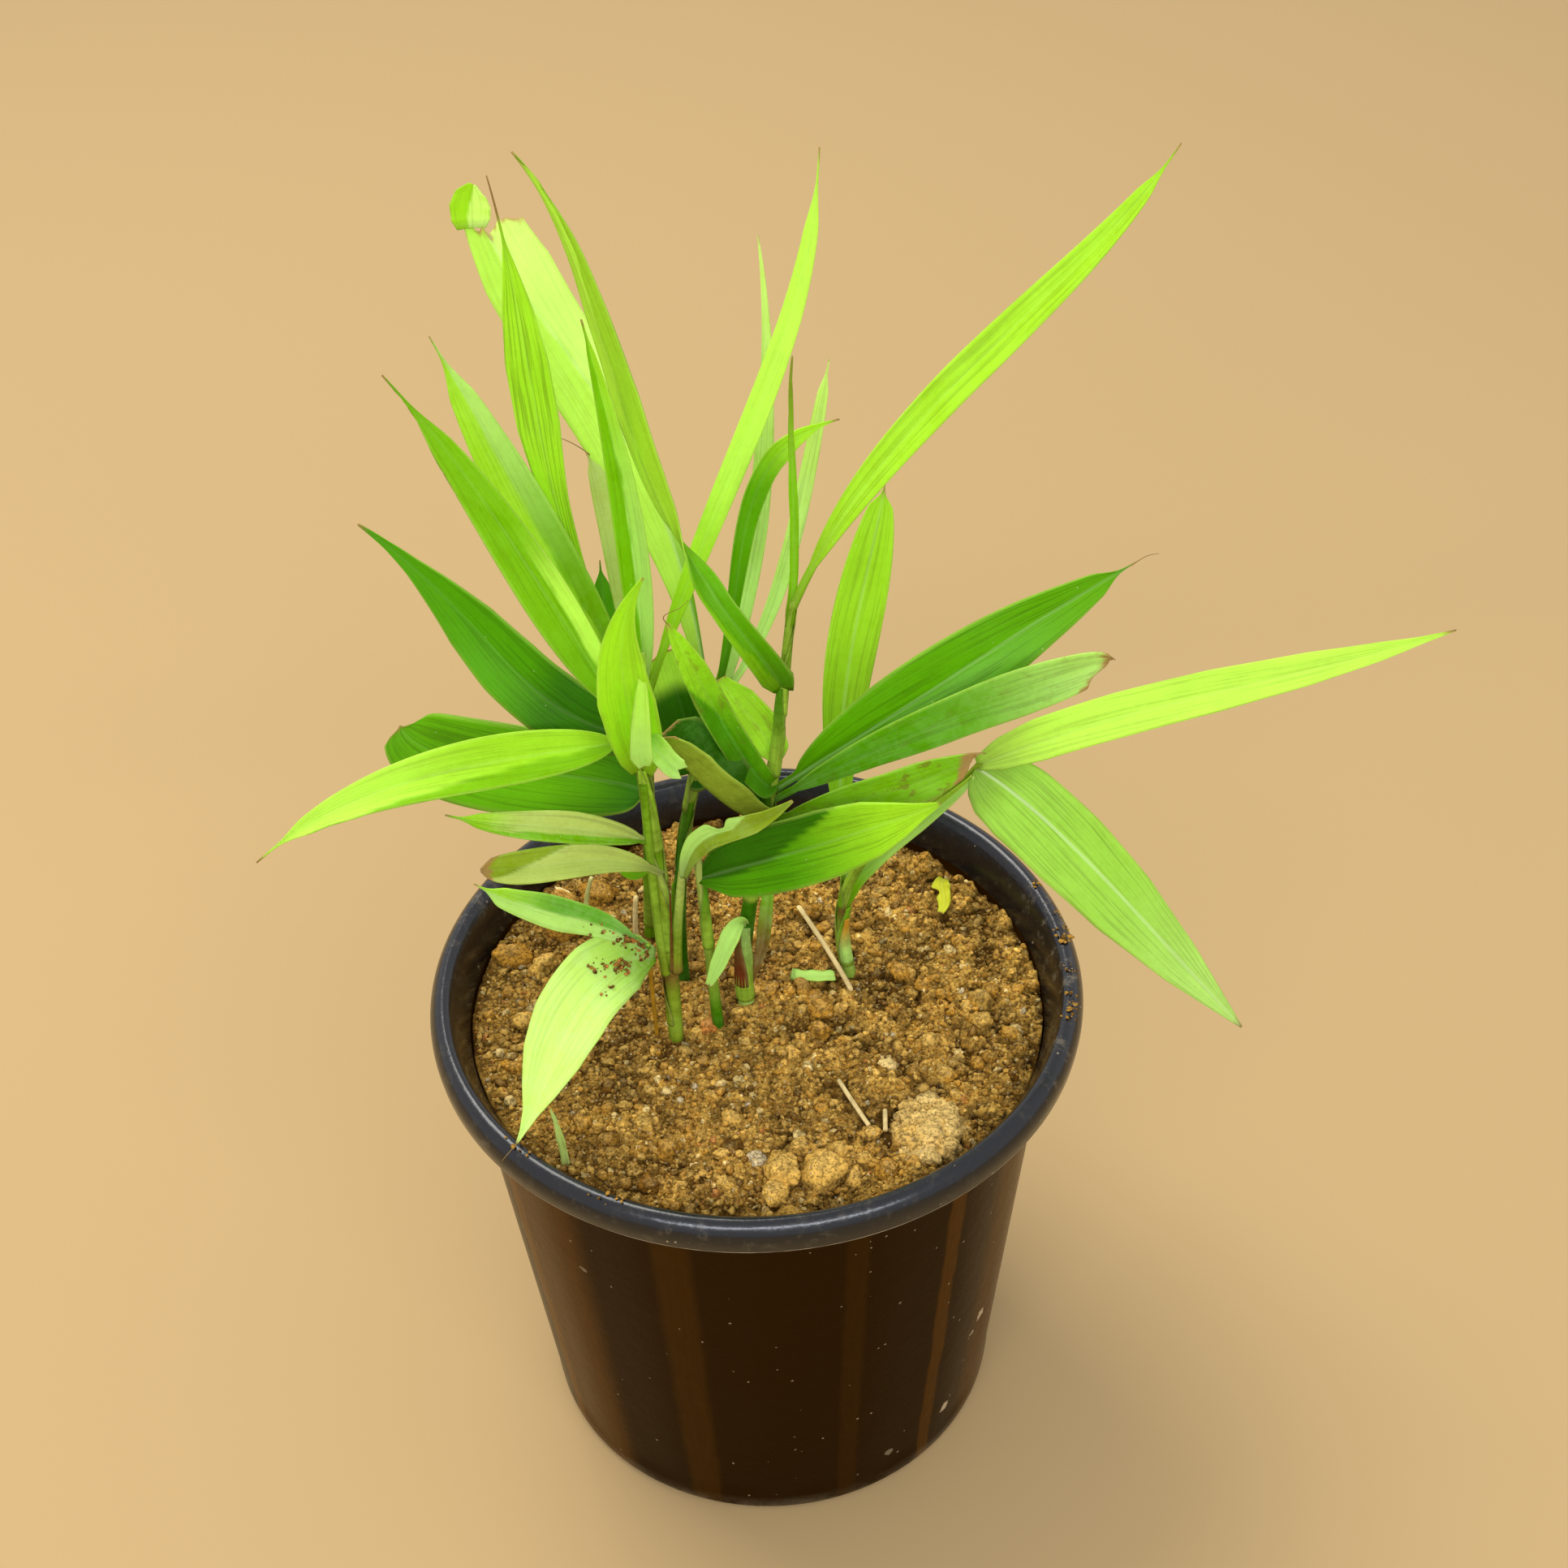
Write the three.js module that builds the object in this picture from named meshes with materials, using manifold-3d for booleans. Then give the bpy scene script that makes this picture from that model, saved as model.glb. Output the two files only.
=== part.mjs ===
// Young cardamom plant in a black nursery pot.
// Units are millimetres, +Z is up, the origin is the centre of the pot's underside and
// the plant is seen from -Y, with +X to the right.
import * as THREE from 'three';
import { mergeVertices } from 'three/addons/utils/BufferGeometryUtils.js';
import Module from 'manifold-3d';

const wasm = await Module();
wasm.setup();

// Pot: a moulded nursery pot with a rolled lip and shallow upright flutes
const POT_HEIGHT = 174;
const RIM_RADIUS = 100;
const WALL_TOP_RADIUS = 90.7;
const BASE_RADIUS = 73;
const WALL = 2;
const FLOOR = 3;
const LIP_HEIGHT = 10.5;
const LIP_INNER_RADIUS = 92.5;
const FLUTES = 16;
const FLUTE_DEPTH = 0.5;
const POT_SIDES = 48;
const DRAIN_HOLES = 6;
const DRAIN_RADIUS = 5;
const DRAIN_CIRCLE = 52;

// Soil: fills the pot to a little below the lip
const SOIL_LEVEL = 160;
const SOIL_LUMP = 1.6;
const SOIL_SIDES = 40;
const SOIL_RINGS = 9;
const GAP = 0.3;

// Leaves: blades in one thickness, thicker and narrow where they leave the stem
const BLADE = 0.8;
const STALK = 1.7;
const STALK_HALF_WIDTH = 1.1;
const TIP_HALF_WIDTH = 0.5;
const STATIONS = 11;
const NARROW_BLADE = 9;
const WAVES = 2.5;
const FACING = new THREE.Vector3(0, -0.75, 0.66).normalize();

// Stems: round, standing in plain holes in the soil
const STEM_SIDES = 8;
const STEM_STATIONS = 9;
const ROOT_DEPTH = 26;

const COLOURS = {
  plastic: 0x0c0d10,
  soil: 0x8a6238,
  leaf: 0x63b01c,
  lime: 0x97d22e,
  straw: 0xc9b27a,
  pale: 0xb8c4bf,
};

const STEMS = {
  stem_left: {
    places: [[-25, -10, 160], [-25, -10, 193], [-26, -9, 224], [-28, -8, 253], [-30, -8, 284]],
    foot: 3.1,
    top: 2.1,
  },
  stem_left_back: {
    places: [[-33, 34, 160], [-31, 28, 198], [-30, 23, 234], [-29, 20, 268]],
    foot: 3,
    top: 2.2,
  },
  stem_front: {
    places: [[-12, -7, 160], [-13, -9, 188], [-14, -11, 214], [-15, -13, 240]],
    foot: 2.4,
    top: 1.7,
  },
  stem_middle: {
    places: [[-3, 1, 160], [-1, 2, 201], [6, 3, 241], [11, 6, 277], [15, 8, 312]],
    foot: 3.5,
    top: 1.5,
  },
  stem_back: {
    places: [[-23, 15, 160], [-22, 21, 194], [-17, 29, 225], [-8, 35, 256]],
    foot: 2.8,
    top: 2,
  },
  stem_right: {
    places: [[29, 15, 160], [28, 14, 191], [37, 8, 218], [52, 3, 238], [67, 0, 257]],
    foot: 2.7,
    top: 1.3,
  },
  shoot_low: {
    places: [[-31, -8, 160], [-31, -12, 181], [-31, -15, 204]],
    foot: 1.3,
    top: 1.2,
  },
};

// Thin things that stand in the soil beside the plant
const STICKS = {
  straw_leaning: {
    places: [[29, 7, 160], [22, 12, 173], [14, 17, 186]],
    foot: 0.9,
    top: 0.8,
    root: 5,
    colour: 'straw',
  },
  straw_back: {
    places: [[-37, 22, 160], [-37, 22, 174], [-36, 22, 188]],
    foot: 0.9,
    top: 0.8,
    root: 5,
    colour: 'straw',
  },
  straw_left: {
    places: [[-54, 44, 160], [-53, 43, 169], [-51, 42, 178]],
    foot: 0.9,
    top: 0.7,
    root: 5,
    colour: 'straw',
  },
  weed_shoot: {
    places: [[-57, -60, 160], [-58, -59, 170], [-60, -57, 180]],
    foot: 0.8,
    top: 0.6,
    root: 8,
    colour: 'leaf',
  },
};

// Straws that lie on the soil: middle, length, heading in degrees
const LYING_STRAWS = {
  straw_front: { x: 28, y: -43, length: 20, heading: -66 },
  straw_short: { x: 37, y: -50, length: 8, heading: -92 },
};
const STRAW_RADIUS = 0.7;

// Scraps of leaf that lie on the soil
const SCRAPS = {
  scrap_green: {
    places: [[11, 12, 0], [15, 11.5, 0], [20, 11, 0], [24.5, 11, 0]],
    width: 4,
    colour: 'leaf',
  },
  scrap_yellow: {
    places: [[61, 53, 0], [60, 48, 1.5], [60.5, 43, 1], [59, 38, 0]],
    width: 7,
    colour: 'lime',
  },
  strip_pale: {
    places: [[-58, 47, 0], [-61, 50, 0], [-64, 53, 0]],
    width: 3,
    colour: 'pale',
  },
};

// Each leaf leaves its stem at the height `from`, or starts on another leaf at the first of
// its `places`, and its midrib runs through them.
// `turn` rolls the blade about its midrib away from facing the front, `twist` adds to it
// along the blade, `fold` lifts each half, `swell` and `taper` shape the outline, and
// `ripple` is how far the edges wave. All angles are in degrees.
const LEAVES = {
  stem_left: [
    { from: 278, places: [[-55, 8, 289], [-80, 20, 304], [-106, 32, 327]], width: 20, turn: -10,
      twist: -10, fold: 8, taper: 1, ripple: 0.6 },
    { from: 254, places: [[-55, 12, 244], [-82, 26, 242], [-106, 38, 247]], width: 27, turn: -5,
      fold: 8, taper: 0.5, ripple: 0.8 },
    { from: 277, places: [[-64, -20, 282], [-100, -32, 282], [-133, -44, 269]], width: 15.5,
      fold: 16, taper: 1, ripple: 0.5 },
    { from: 238, places: [[-46, -20, 255], [-64, -26, 263], [-82, -32, 273]], width: 10,
      turn: 10, fold: 12, ripple: 0.4 },
    { from: 227, places: [[-42, -22, 245], [-58, -30, 251], [-74, -36, 256]], width: 11,
      turn: 10, fold: 18, taper: 0.35, ripple: 0.9 },
    { from: 281, places: [[-49, 4, 311], [-70, 16, 343], [-92, 26, 377]], width: 15.5,
      turn: 10, fold: 18, taper: 1, ripple: 0.4 },
    { from: 266, places: [[-30, -22, 298], [-29, -28, 326], [-25, -30, 344]], width: 15,
      fold: 24, taper: 0.8, ripple: 0.9 },
    { from: 268, places: [[-23, -15, 266], [-19, -19, 261], [-14, -21, 255]], width: 8,
      fold: 8, swell: 0.4, taper: 0.3, ripple: 0.8 },
  ],
  stem_left_back: [
    { from: 257, places: [[-49, 36, 296], [-68, 50, 335], [-83, 60, 368]], width: 16,
      turn: -10, fold: 10, taper: 1, ripple: 0.4 },
    { from: 262, places: [[-48, 44, 313], [-58, 62, 362], [-64, 76, 408]], width: 12.5,
      fold: 6, taper: 1.2, ripple: 0.3 },
    { from: 263, places: [[-31, 24, 309], [-35, 27, 352], [-40, 29, 391]], width: 9,
      fold: 8, taper: 1.2, ripple: 0.3 },
    { from: 261, places: [[-34, 44, 288], [-39, 56, 309], [-47, 64, 328]], width: 9,
      twist: 20, fold: 12, taper: 0.7, ripple: 0.4 },
    { from: 253, places: [[-38, 44, 270], [-41, 60, 289]], width: 9, fold: 8, ripple: 0.3 },
    { from: 265, places: [[-3, 30, 333], [16, 42, 379], [26, 54, 425]], width: 7,
      fold: 8, ripple: 0.2 },
    { from: 196, places: [[-36, 22, 200], [-40, 19, 206]], width: 7, fold: 8, taper: 0.7 },
  ],
  stem_front: [
    { from: 227, places: [[9, -26, 247], [31, -34, 263], [53, -38, 276]], width: 22.5,
      turn: 10, fold: 8, swell: 0.5, taper: 0.8, ripple: 0.8 },
    { from: 235, places: [[-9, -24, 252], [1, -30, 265], [13, -34, 275]], width: 9.5,
      fold: 12, taper: 0.7, ripple: 0.8 },
  ],
  stem_middle: [
    { from: 282, places: [[-5, 0, 317], [-22, 24, 344], [-35, 52, 378], [-52, 74, 416]],
      width: 12.5, turn: -20, twist: 150, twistAt: 0.34, twistSpan: 0.22, fold: 12, swell: 0.4,
      taper: 1, ripple: 0.3 },
    { from: 249, places: [[1, -8, 275], [-6, -12, 295], [-18, -12, 321]], width: 12.5,
      fold: 20, taper: 0.7, ripple: 1.2 },
    { from: 257, places: [[2, 12, 265], [-6, 18, 273], [-14, 22, 281]], width: 16,
      fold: 6, taper: 0.6, ripple: 0.6 },
    { from: 235, places: [[-4, -10, 252], [-13, -14, 269], [-19, -14, 285]], width: 26,
      turn: 70, fold: 60, taper: 0.5, ripple: 0.5 },
    { from: 246, places: [[44, 6, 272], [76, 16, 289], [112, 26, 307]], width: 22.5,
      turn: 10, fold: 10, ripple: 0.7 },
    { from: 242, places: [[42, -3, 268], [74, -4, 284], [103, -4, 296]], width: 16,
      turn: 25, fold: 10, taper: 0.35, ripple: 0.6 },
    { from: 235, places: [[32, -10, 254], [48, -12, 262], [64, -12, 270]], width: 13,
      turn: 20, fold: 10, taper: 0.6, ripple: 1 },
    { from: 303, places: [[16, 10, 332], [16, 16, 357], [17, 22, 382]], width: 3,
      fold: 0, taper: 0.6 },
    { from: 308, places: [[46, 14, 360], [85, 28, 395], [119, 44, 428]], width: 12.5,
      turn: -5, fold: 8, ripple: 0.3 },
    { from: 194, places: [[-5, -9, 204], [-10, -15, 200], [-15, -18, 189]], width: 6.5,
      fold: 14, taper: 0.5, ripple: 0.4 },
    { from: 166, places: [[2, 3, 182], [4, 5, 196], [6, 7, 211]], width: 5, fold: 14,
      taper: 0.5 },
  ],
  stem_back: [
    { from: 249, places: [[-25, 66, 310], [-49, 88, 346], [-70, 106, 378]], width: 27,
      turn: 5, fold: 8, swell: 0.8, taper: 0.2, ripple: 0.8 },
    { places: [[-69, 102, 373], [-71, 104, 381], [-71, 103, 390]], width: 13, fold: 6,
      swell: 0.5, taper: 0.4 },
    { from: 252, places: [[3, 50, 295], [9, 62, 345], [9, 72, 389]], width: 7.5,
      fold: 8, taper: 1.2, ripple: 0.3 },
    { from: 252, places: [[-2, 26, 305], [4, 25, 340], [28, 33, 355]], width: 8,
      turn: 10, twist: 10, fold: 10, ripple: 0.3 },
    { from: 253, places: [[9, 52, 275], [20, 64, 310], [28, 72, 348]], width: 6,
      fold: 6, taper: 0.4 },
  ],
  stem_right: [
    { from: 256, places: [[111, 4, 270], [156, 8, 279], [202, 14, 288]], width: 14,
      turn: 5, fold: 8, swell: 0.5, taper: 1, ripple: 0.4 },
    { from: 255, places: [[88, -12, 241], [113, -26, 217], [142, -38, 184]], width: 26,
      fold: 8, swell: 0.5, ripple: 0.6 },
    { from: 197, places: [[29, 44, 233], [36, 62, 266], [44, 76, 301]], width: 16.5,
      fold: 8, swell: 0.9, taper: 0.7, ripple: 0.6 },
    { from: 184, places: [[26, 12, 194], [24, 10, 205]], width: 8, fold: 20, taper: 0.5 },
  ],
  shoot_low: [
    { from: 202, places: [[-48, -17, 216], [-63, -18, 224], [-81, -18, 235]], width: 10,
      turn: -15, fold: 6, ripple: 0.5 },
    { from: 201, places: [[-46, -32, 202], [-58, -51, 192], [-70, -67, 177]], width: 19,
      fold: 12, ripple: 0.8 },
  ],
};

// Clods that lie bedded in the soil: place across the pot, size, squash in height
const CLODS = [
  [49, -50, 11, 0.7],
  [15, -67, 6.5, 0.8],
  [4, -66, 4, 0.8],
  [10, -57, 4, 0.8],
  [30, -62, 4.5, 0.8],
  [-2, -62, 3.5, 0.8],
  [-23, -71, 3.5, 0.8],
  [-60, 40, 8, 0.7],
  [-50, 52, 6, 0.8],
];
const LOOSE_CLODS = 40;
const CLOD_SEED = 7;
const CLEAR_OF_STEMS = 12;

const radians = THREE.MathUtils.degToRad;

// A curve through evenly spaced places, by Lagrange's formula.
class Through extends THREE.Curve {
  constructor(places) {
    super();
    this.places = places.map((p) => new THREE.Vector3(...p));
  }

  getPoint(t, target = new THREE.Vector3()) {
    const last = this.places.length - 1;
    target.set(0, 0, 0);
    this.places.forEach((place, i) => {
      let weight = 1;
      for (let j = 0; j <= last; j += 1) {
        if (j !== i) weight *= (t * last - j) / (i - j);
      }
      target.addScaledVector(place, weight);
    });
    return target;
  }

  getTangent(t, target = new THREE.Vector3()) {
    const step = 0.001;
    return target.copy(this.getPoint(t + step)).sub(this.getPoint(t - step)).normalize();
  }
}

// The point of a curve at a height: the curves of the stems only rise.
function atHeight(curve, height) {
  let low = 0;
  let high = 1;
  for (let i = 0; i < 30; i += 1) {
    const middle = (low + high) / 2;
    if (curve.getPoint(middle).z < height) low = middle;
    else high = middle;
  }
  return curve.getPoint(low);
}

// A closed body as a solid that can be joined and cut.
function solid(geometry) {
  const bare = geometry.clone();
  bare.deleteAttribute('normal');
  bare.deleteAttribute('uv');
  const merged = mergeVertices(bare, 1e-4);
  const triangles = [];
  const index = merged.index.array;
  for (let i = 0; i < index.length; i += 3) {
    const [a, b, c] = index.slice(i, i + 3);
    if (a !== b && b !== c && c !== a) triangles.push(a, b, c);
  }
  return new wasm.Manifold(new wasm.Mesh({
    numProp: 3,
    vertProperties: new Float32Array(merged.attributes.position.array),
    triVerts: new Uint32Array(triangles),
  }));
}

function geometryOf(body) {
  const mesh = body.getMesh();
  const geometry = new THREE.BufferGeometry();
  geometry.setAttribute('position', new THREE.BufferAttribute(mesh.vertProperties, 3));
  geometry.setIndex(new THREE.BufferAttribute(mesh.triVerts, 1));
  return geometry;
}

function indexed(points, triangles) {
  const geometry = new THREE.BufferGeometry();
  geometry.setAttribute('position', new THREE.Float32BufferAttribute(points.flat(), 3));
  geometry.setIndex(triangles.flat());
  return geometry;
}

// Rings of points, each counter-clockwise about the way that the rings run, closed by a
// fan of triangles at both ends.
function loft(rings) {
  const sides = rings[0].length;
  const points = rings.flat();
  const triangles = [];
  for (let i = 0; i + 1 < rings.length; i += 1) {
    for (let j = 0; j < sides; j += 1) {
      const a = i * sides + j;
      const b = i * sides + ((j + 1) % sides);
      triangles.push([a, b, b + sides], [a, b + sides, a + sides]);
    }
  }
  const end = (rings.length - 1) * sides;
  for (let j = 1; j + 1 < sides; j += 1) {
    triangles.push([0, j + 1, j], [end, end + j, end + j + 1]);
  }
  return indexed(points, triangles);
}

// A round stem: it runs straight down into the soil from its foot, and `spare` widens and
// deepens it to make the hole that it stands in.
function stemBody(stem, spare = 0) {
  const curve = new Through(stem.places);
  const ring = (centre, radius) => {
    const points = [];
    for (let j = 0; j < STEM_SIDES; j += 1) {
      const angle = (2 * Math.PI * j) / STEM_SIDES;
      points.push([
        centre.x + radius * Math.cos(angle),
        centre.y + radius * Math.sin(angle),
        centre.z,
      ]);
    }
    return points;
  };
  const foot = curve.getPoint(0);
  const depth = stem.root ?? ROOT_DEPTH;
  const root = foot.clone().setZ(foot.z - depth - spare);
  const rings = [ring(root, stem.foot * 0.8 + spare), ring(foot, stem.foot + spare)];
  for (let i = 1; i < STEM_STATIONS; i += 1) {
    const t = i / (STEM_STATIONS - 1);
    rings.push(ring(curve.getPoint(t), THREE.MathUtils.lerp(stem.foot, stem.top, t) + spare));
  }
  return loft(rings);
}

// How wide a blade is at s, from 0 at its base to 1 at its tip, as a share of its width.
function outline(s, swell, taper) {
  const widest = swell / (swell + taper);
  return (s ** swell * (1 - s) ** taper) / (widest ** swell * (1 - widest) ** taper);
}

// One leaf: a thin folded blade whose two faces are the same grid of points, a thickness
// apart and split into triangles alike.
function leafBody(leaf, places, facing = FACING) {
  const { width, turn = 0, twist = 0, twistAt = 0.5, twistSpan = 1 } = leaf;
  const { fold = 0, swell = 0.6, taper = 0.9, ripple = 0 } = leaf;
  const midrib = new Through(places);
  const columns = width > NARROW_BLADE ? 5 : 3;
  const faces = [[], []];
  for (let i = 0; i < STATIONS; i += 1) {
    const t = i / (STATIONS - 1);
    const centre = midrib.getPoint(t);
    const along = midrib.getTangent(t);
    const share = THREE.MathUtils.smoothstep((t - twistAt) / twistSpan + 0.5, 0, 1);
    const normal = facing.clone().addScaledVector(along, -facing.dot(along)).normalize();
    normal.applyAxisAngle(along, radians(turn + twist * share));
    const across = along.clone().cross(normal);
    const s = THREE.MathUtils.clamp((t - 0.06) / 0.94, 0, 1);
    const least = t < 0.5 ? STALK_HALF_WIDTH : TIP_HALF_WIDTH;
    const half = Math.max((width / 2) * outline(s, swell, taper), least);
    const thick = THREE.MathUtils.lerp(STALK, BLADE, THREE.MathUtils.smoothstep(t, 0, 0.14));
    for (let j = 0; j < columns; j += 1) {
      const v = (2 * j) / (columns - 1) - 1;
      const wave = ripple * v ** 2 * Math.sin(WAVES * 2 * Math.PI * t + (v > 0 ? 1.3 : 0));
      const out = half * v * Math.cos(radians(fold));
      const up = half * Math.abs(v) * Math.sin(radians(fold)) + wave * (half / width);
      const point = centre.clone().addScaledVector(across, out).addScaledVector(normal, up);
      faces[0].push(point.clone().addScaledVector(normal, thick / 2).toArray());
      faces[1].push(point.addScaledVector(normal, -thick / 2).toArray());
    }
  }
  const below = STATIONS * columns;
  const last = columns - 1;
  const tip = (STATIONS - 1) * columns;
  const triangles = [];
  const quad = (a, b, c, d) => triangles.push([a, b, c], [a, c, d]);
  for (let i = 0; i + 1 < STATIONS; i += 1) {
    for (let j = 0; j < last; j += 1) {
      const a = i * columns + j;
      const b = a + 1;
      const c = b + columns;
      const d = a + columns;
      triangles.push([a, b, c], [a, c, d]);
      triangles.push([below + a, below + c, below + b], [below + a, below + d, below + c]);
    }
    const left = i * columns;
    const right = left + last;
    quad(left, left + columns, left + columns + below, left + below);
    quad(right, right + below, right + below + columns, right + columns);
  }
  for (let j = 0; j < last; j += 1) {
    quad(j, below + j, below + j + 1, j + 1);
    quad(tip + j, tip + j + 1, tip + below + j + 1, tip + below + j);
  }
  return indexed([...faces[0], ...faces[1]], triangles);
}

function revolve(profile, sides) {
  const outlinePoints = profile.map(([r, z]) => new THREE.Vector2(r, z));
  return new THREE.LatheGeometry(outlinePoints, sides).rotateX(Math.PI / 2);
}

function wallRadius(z) {
  return THREE.MathUtils.mapLinear(z, 0, POT_HEIGHT - LIP_HEIGHT, BASE_RADIUS, WALL_TOP_RADIUS);
}

function potBody() {
  const under = POT_HEIGHT - LIP_HEIGHT;
  const outside = [
    [0, 0],
    [BASE_RADIUS - 2, 0],
    [wallRadius(2), 2],
    [wallRadius(8), 8],
    [wallRadius(60), 60],
    [wallRadius(110), 110],
    [wallRadius(under - 5), under - 5],
    [WALL_TOP_RADIUS, under],
  ];
  const lip = [
    [RIM_RADIUS - 1.6, under],
    [RIM_RADIUS - 0.6, under + 0.4],
    [RIM_RADIUS, under + 3.4],
    [RIM_RADIUS - 0.5, under + 7],
    [RIM_RADIUS - 2.2, POT_HEIGHT - 0.9],
    [RIM_RADIUS - 4.2, POT_HEIGHT],
    [RIM_RADIUS - 6.2, POT_HEIGHT - 0.8],
    [LIP_INNER_RADIUS, POT_HEIGHT - 3],
  ];
  const inside = [
    [wallRadius(under - 3) - WALL, under - 3],
    [wallRadius(FLOOR) - WALL, FLOOR],
    [0, FLOOR],
  ];
  const shell = revolve([...outside, ...lip, ...inside], POT_SIDES);
  const position = shell.attributes.position;
  for (let i = 0; i < position.count; i += 1) {
    const x = position.getX(i);
    const y = position.getY(i);
    const z = position.getZ(i);
    const radius = Math.hypot(x, y);
    const onWall = z > 7 && z < under - 4 && radius > wallRadius(z) - 0.1;
    if (!onWall) continue;
    const inset = (FLUTE_DEPTH / 2) * (1 - Math.cos(FLUTES * Math.atan2(y, x)));
    position.setXY(i, x * (1 - inset / radius), y * (1 - inset / radius));
  }
  let body = solid(shell);
  for (let i = 0; i < DRAIN_HOLES; i += 1) {
    const angle = (2 * Math.PI * (i + 0.5)) / DRAIN_HOLES;
    const drill = new THREE.CylinderGeometry(DRAIN_RADIUS, DRAIN_RADIUS, 3 * FLOOR, 16);
    drill.rotateX(Math.PI / 2);
    drill.translate(DRAIN_CIRCLE * Math.cos(angle), DRAIN_CIRCLE * Math.sin(angle), 0);
    body = body.subtract(solid(drill));
  }
  return geometryOf(body);
}

// The uneven top of the soil: three crossing swells, flat towards the wall.
function soilTop(x, y) {
  const swell = Math.sin(x / 9 + 1) * Math.cos(y / 11) + Math.sin((x + y) / 14 + 2)
    + 0.6 * Math.cos((x - 2 * y) / 17);
  return SOIL_LEVEL + (SOIL_LUMP / 2) * swell;
}

// Small clods strewn evenly over the soil, away from whatever stands or lies there.
function looseClods() {
  const standing = Object.values({ ...STEMS, ...STICKS, ...SCRAPS }).map((one) => one.places[0]);
  const lying = Object.values(LYING_STRAWS).map(({ x, y }) => [x, y]);
  const kept = [...standing, ...lying, ...CLODS];
  const draw = THREE.MathUtils.seededRandom;
  draw(CLOD_SEED);
  const clods = [];
  for (let i = 0; i < LOOSE_CLODS; i += 1) {
    const reach = 80 * Math.sqrt(draw());
    const angle = 2 * Math.PI * draw();
    const clod = [reach * Math.cos(angle), reach * Math.sin(angle), 2.2 + 2 * draw(), 0.8];
    const near = kept.some(([x, y]) => Math.hypot(x - clod[0], y - clod[1]) < CLEAR_OF_STEMS);
    if (!near) clods.push(clod);
  }
  return clods;
}

function soilBody() {
  const floor = FLOOR + GAP;
  const wall = (z) => wallRadius(z) - WALL - GAP - 0.15;
  const top = [];
  for (let i = SOIL_RINGS; i >= 0; i -= 1) {
    top.push([(wall(SOIL_LEVEL) * i) / SOIL_RINGS, SOIL_LEVEL]);
  }
  const geometry = revolve([[0, floor], [wall(floor), floor], ...top], SOIL_SIDES);
  const position = geometry.attributes.position;
  for (let i = 0; i < position.count; i += 1) {
    if (position.getZ(i) < SOIL_LEVEL - 1) continue;
    const edge = Math.hypot(position.getX(i), position.getY(i)) / wall(SOIL_LEVEL);
    const settled = 2.5 * THREE.MathUtils.smoothstep(edge, 0.9, 1);
    const z = soilTop(position.getX(i), position.getY(i)) - settled;
    const inward = wall(Math.min(z, SOIL_LEVEL)) / wall(SOIL_LEVEL);
    position.setXYZ(i, position.getX(i) * inward, position.getY(i) * inward, z);
  }
  let body = solid(geometry);
  [...CLODS, ...looseClods()].forEach(([x, y, size, squash], i) => {
    const clod = new THREE.IcosahedronGeometry(size, size > 7 ? 1 : 0);
    clod.rotateX(i).rotateY(2 * i).scale(1, 0.9, squash);
    clod.translate(x, y, soilTop(x, y) + size * squash * 0.2);
    body = body.add(solid(clod));
  });
  for (const stem of Object.values({ ...STEMS, ...STICKS })) {
    body = body.subtract(solid(stemBody(stem, GAP)));
  }
  return geometryOf(body);
}

function leafyStem(name) {
  const stem = STEMS[name];
  const axis = new Through(stem.places);
  let body = solid(stemBody(stem));
  for (const leaf of LEAVES[name]) {
    const start = leaf.from ? [atHeight(axis, leaf.from).toArray()] : [];
    body = body.add(solid(leafBody(leaf, [...start, ...leaf.places])));
  }
  return geometryOf(body);
}

function material(colour, roughness) {
  return new THREE.MeshStandardMaterial({ color: colour, roughness, metalness: 0 });
}

const plant = new THREE.Group();

function addPiece(name, geometry, colour, roughness = 0.6) {
  const mesh = new THREE.Mesh(geometry, material(colour, roughness));
  mesh.name = name;
  plant.add(mesh);
  return mesh;
}

addPiece('pot', potBody(), COLOURS.plastic, 0.3);
const soil = addPiece('soil', soilBody(), COLOURS.soil, 0.95);
for (const name of Object.keys(STEMS)) addPiece(name, leafyStem(name), COLOURS.leaf);
for (const [name, stick] of Object.entries(STICKS)) {
  addPiece(name, stemBody(stick), COLOURS[stick.colour]);
}

// The height of the soil under a point, found by looking straight down on it.
const down = new THREE.Raycaster(new THREE.Vector3(), new THREE.Vector3(0, 0, -1));
function soilUnder(x, y) {
  down.ray.origin.set(x, y, 2 * POT_HEIGHT);
  return down.intersectObject(soil)[0].point.z;
}

// Lifts a small body from z = 0 until its lowest points lie just clear of the soil.
function restOnSoil(geometry) {
  const position = geometry.attributes.position;
  let lift = 0;
  for (let i = 0; i < position.count; i += 1) {
    const ground = soilUnder(position.getX(i), position.getY(i));
    lift = Math.max(lift, ground + GAP - position.getZ(i));
  }
  return geometry.translate(0, 0, lift);
}

for (const [name, straw] of Object.entries(LYING_STRAWS)) {
  const body = new THREE.CylinderGeometry(STRAW_RADIUS, STRAW_RADIUS, straw.length, 6, 6);
  body.rotateZ(Math.PI / 2).rotateZ(radians(straw.heading)).translate(straw.x, straw.y, 0);
  addPiece(name, restOnSoil(body), COLOURS.straw);
}
for (const [name, scrap] of Object.entries(SCRAPS)) {
  const body = leafBody(scrap, scrap.places, new THREE.Vector3(0, 0, 1));
  addPiece(name, restOnSoil(body), COLOURS[scrap.colour]);
}

export default plant;
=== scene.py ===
"""The looks of a young cardamom plant in a black nursery pot.

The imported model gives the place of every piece. This script replaces its plain solids with
finer surfaces of the same form, dresses them, and adds the soil's crumbs, the leaf sheaths
and the specks of soil. Lengths in the tables are millimetres and become metres in the meshes.
"""
import logging
import math
from dataclasses import dataclass, field, replace
from enum import Enum

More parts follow.
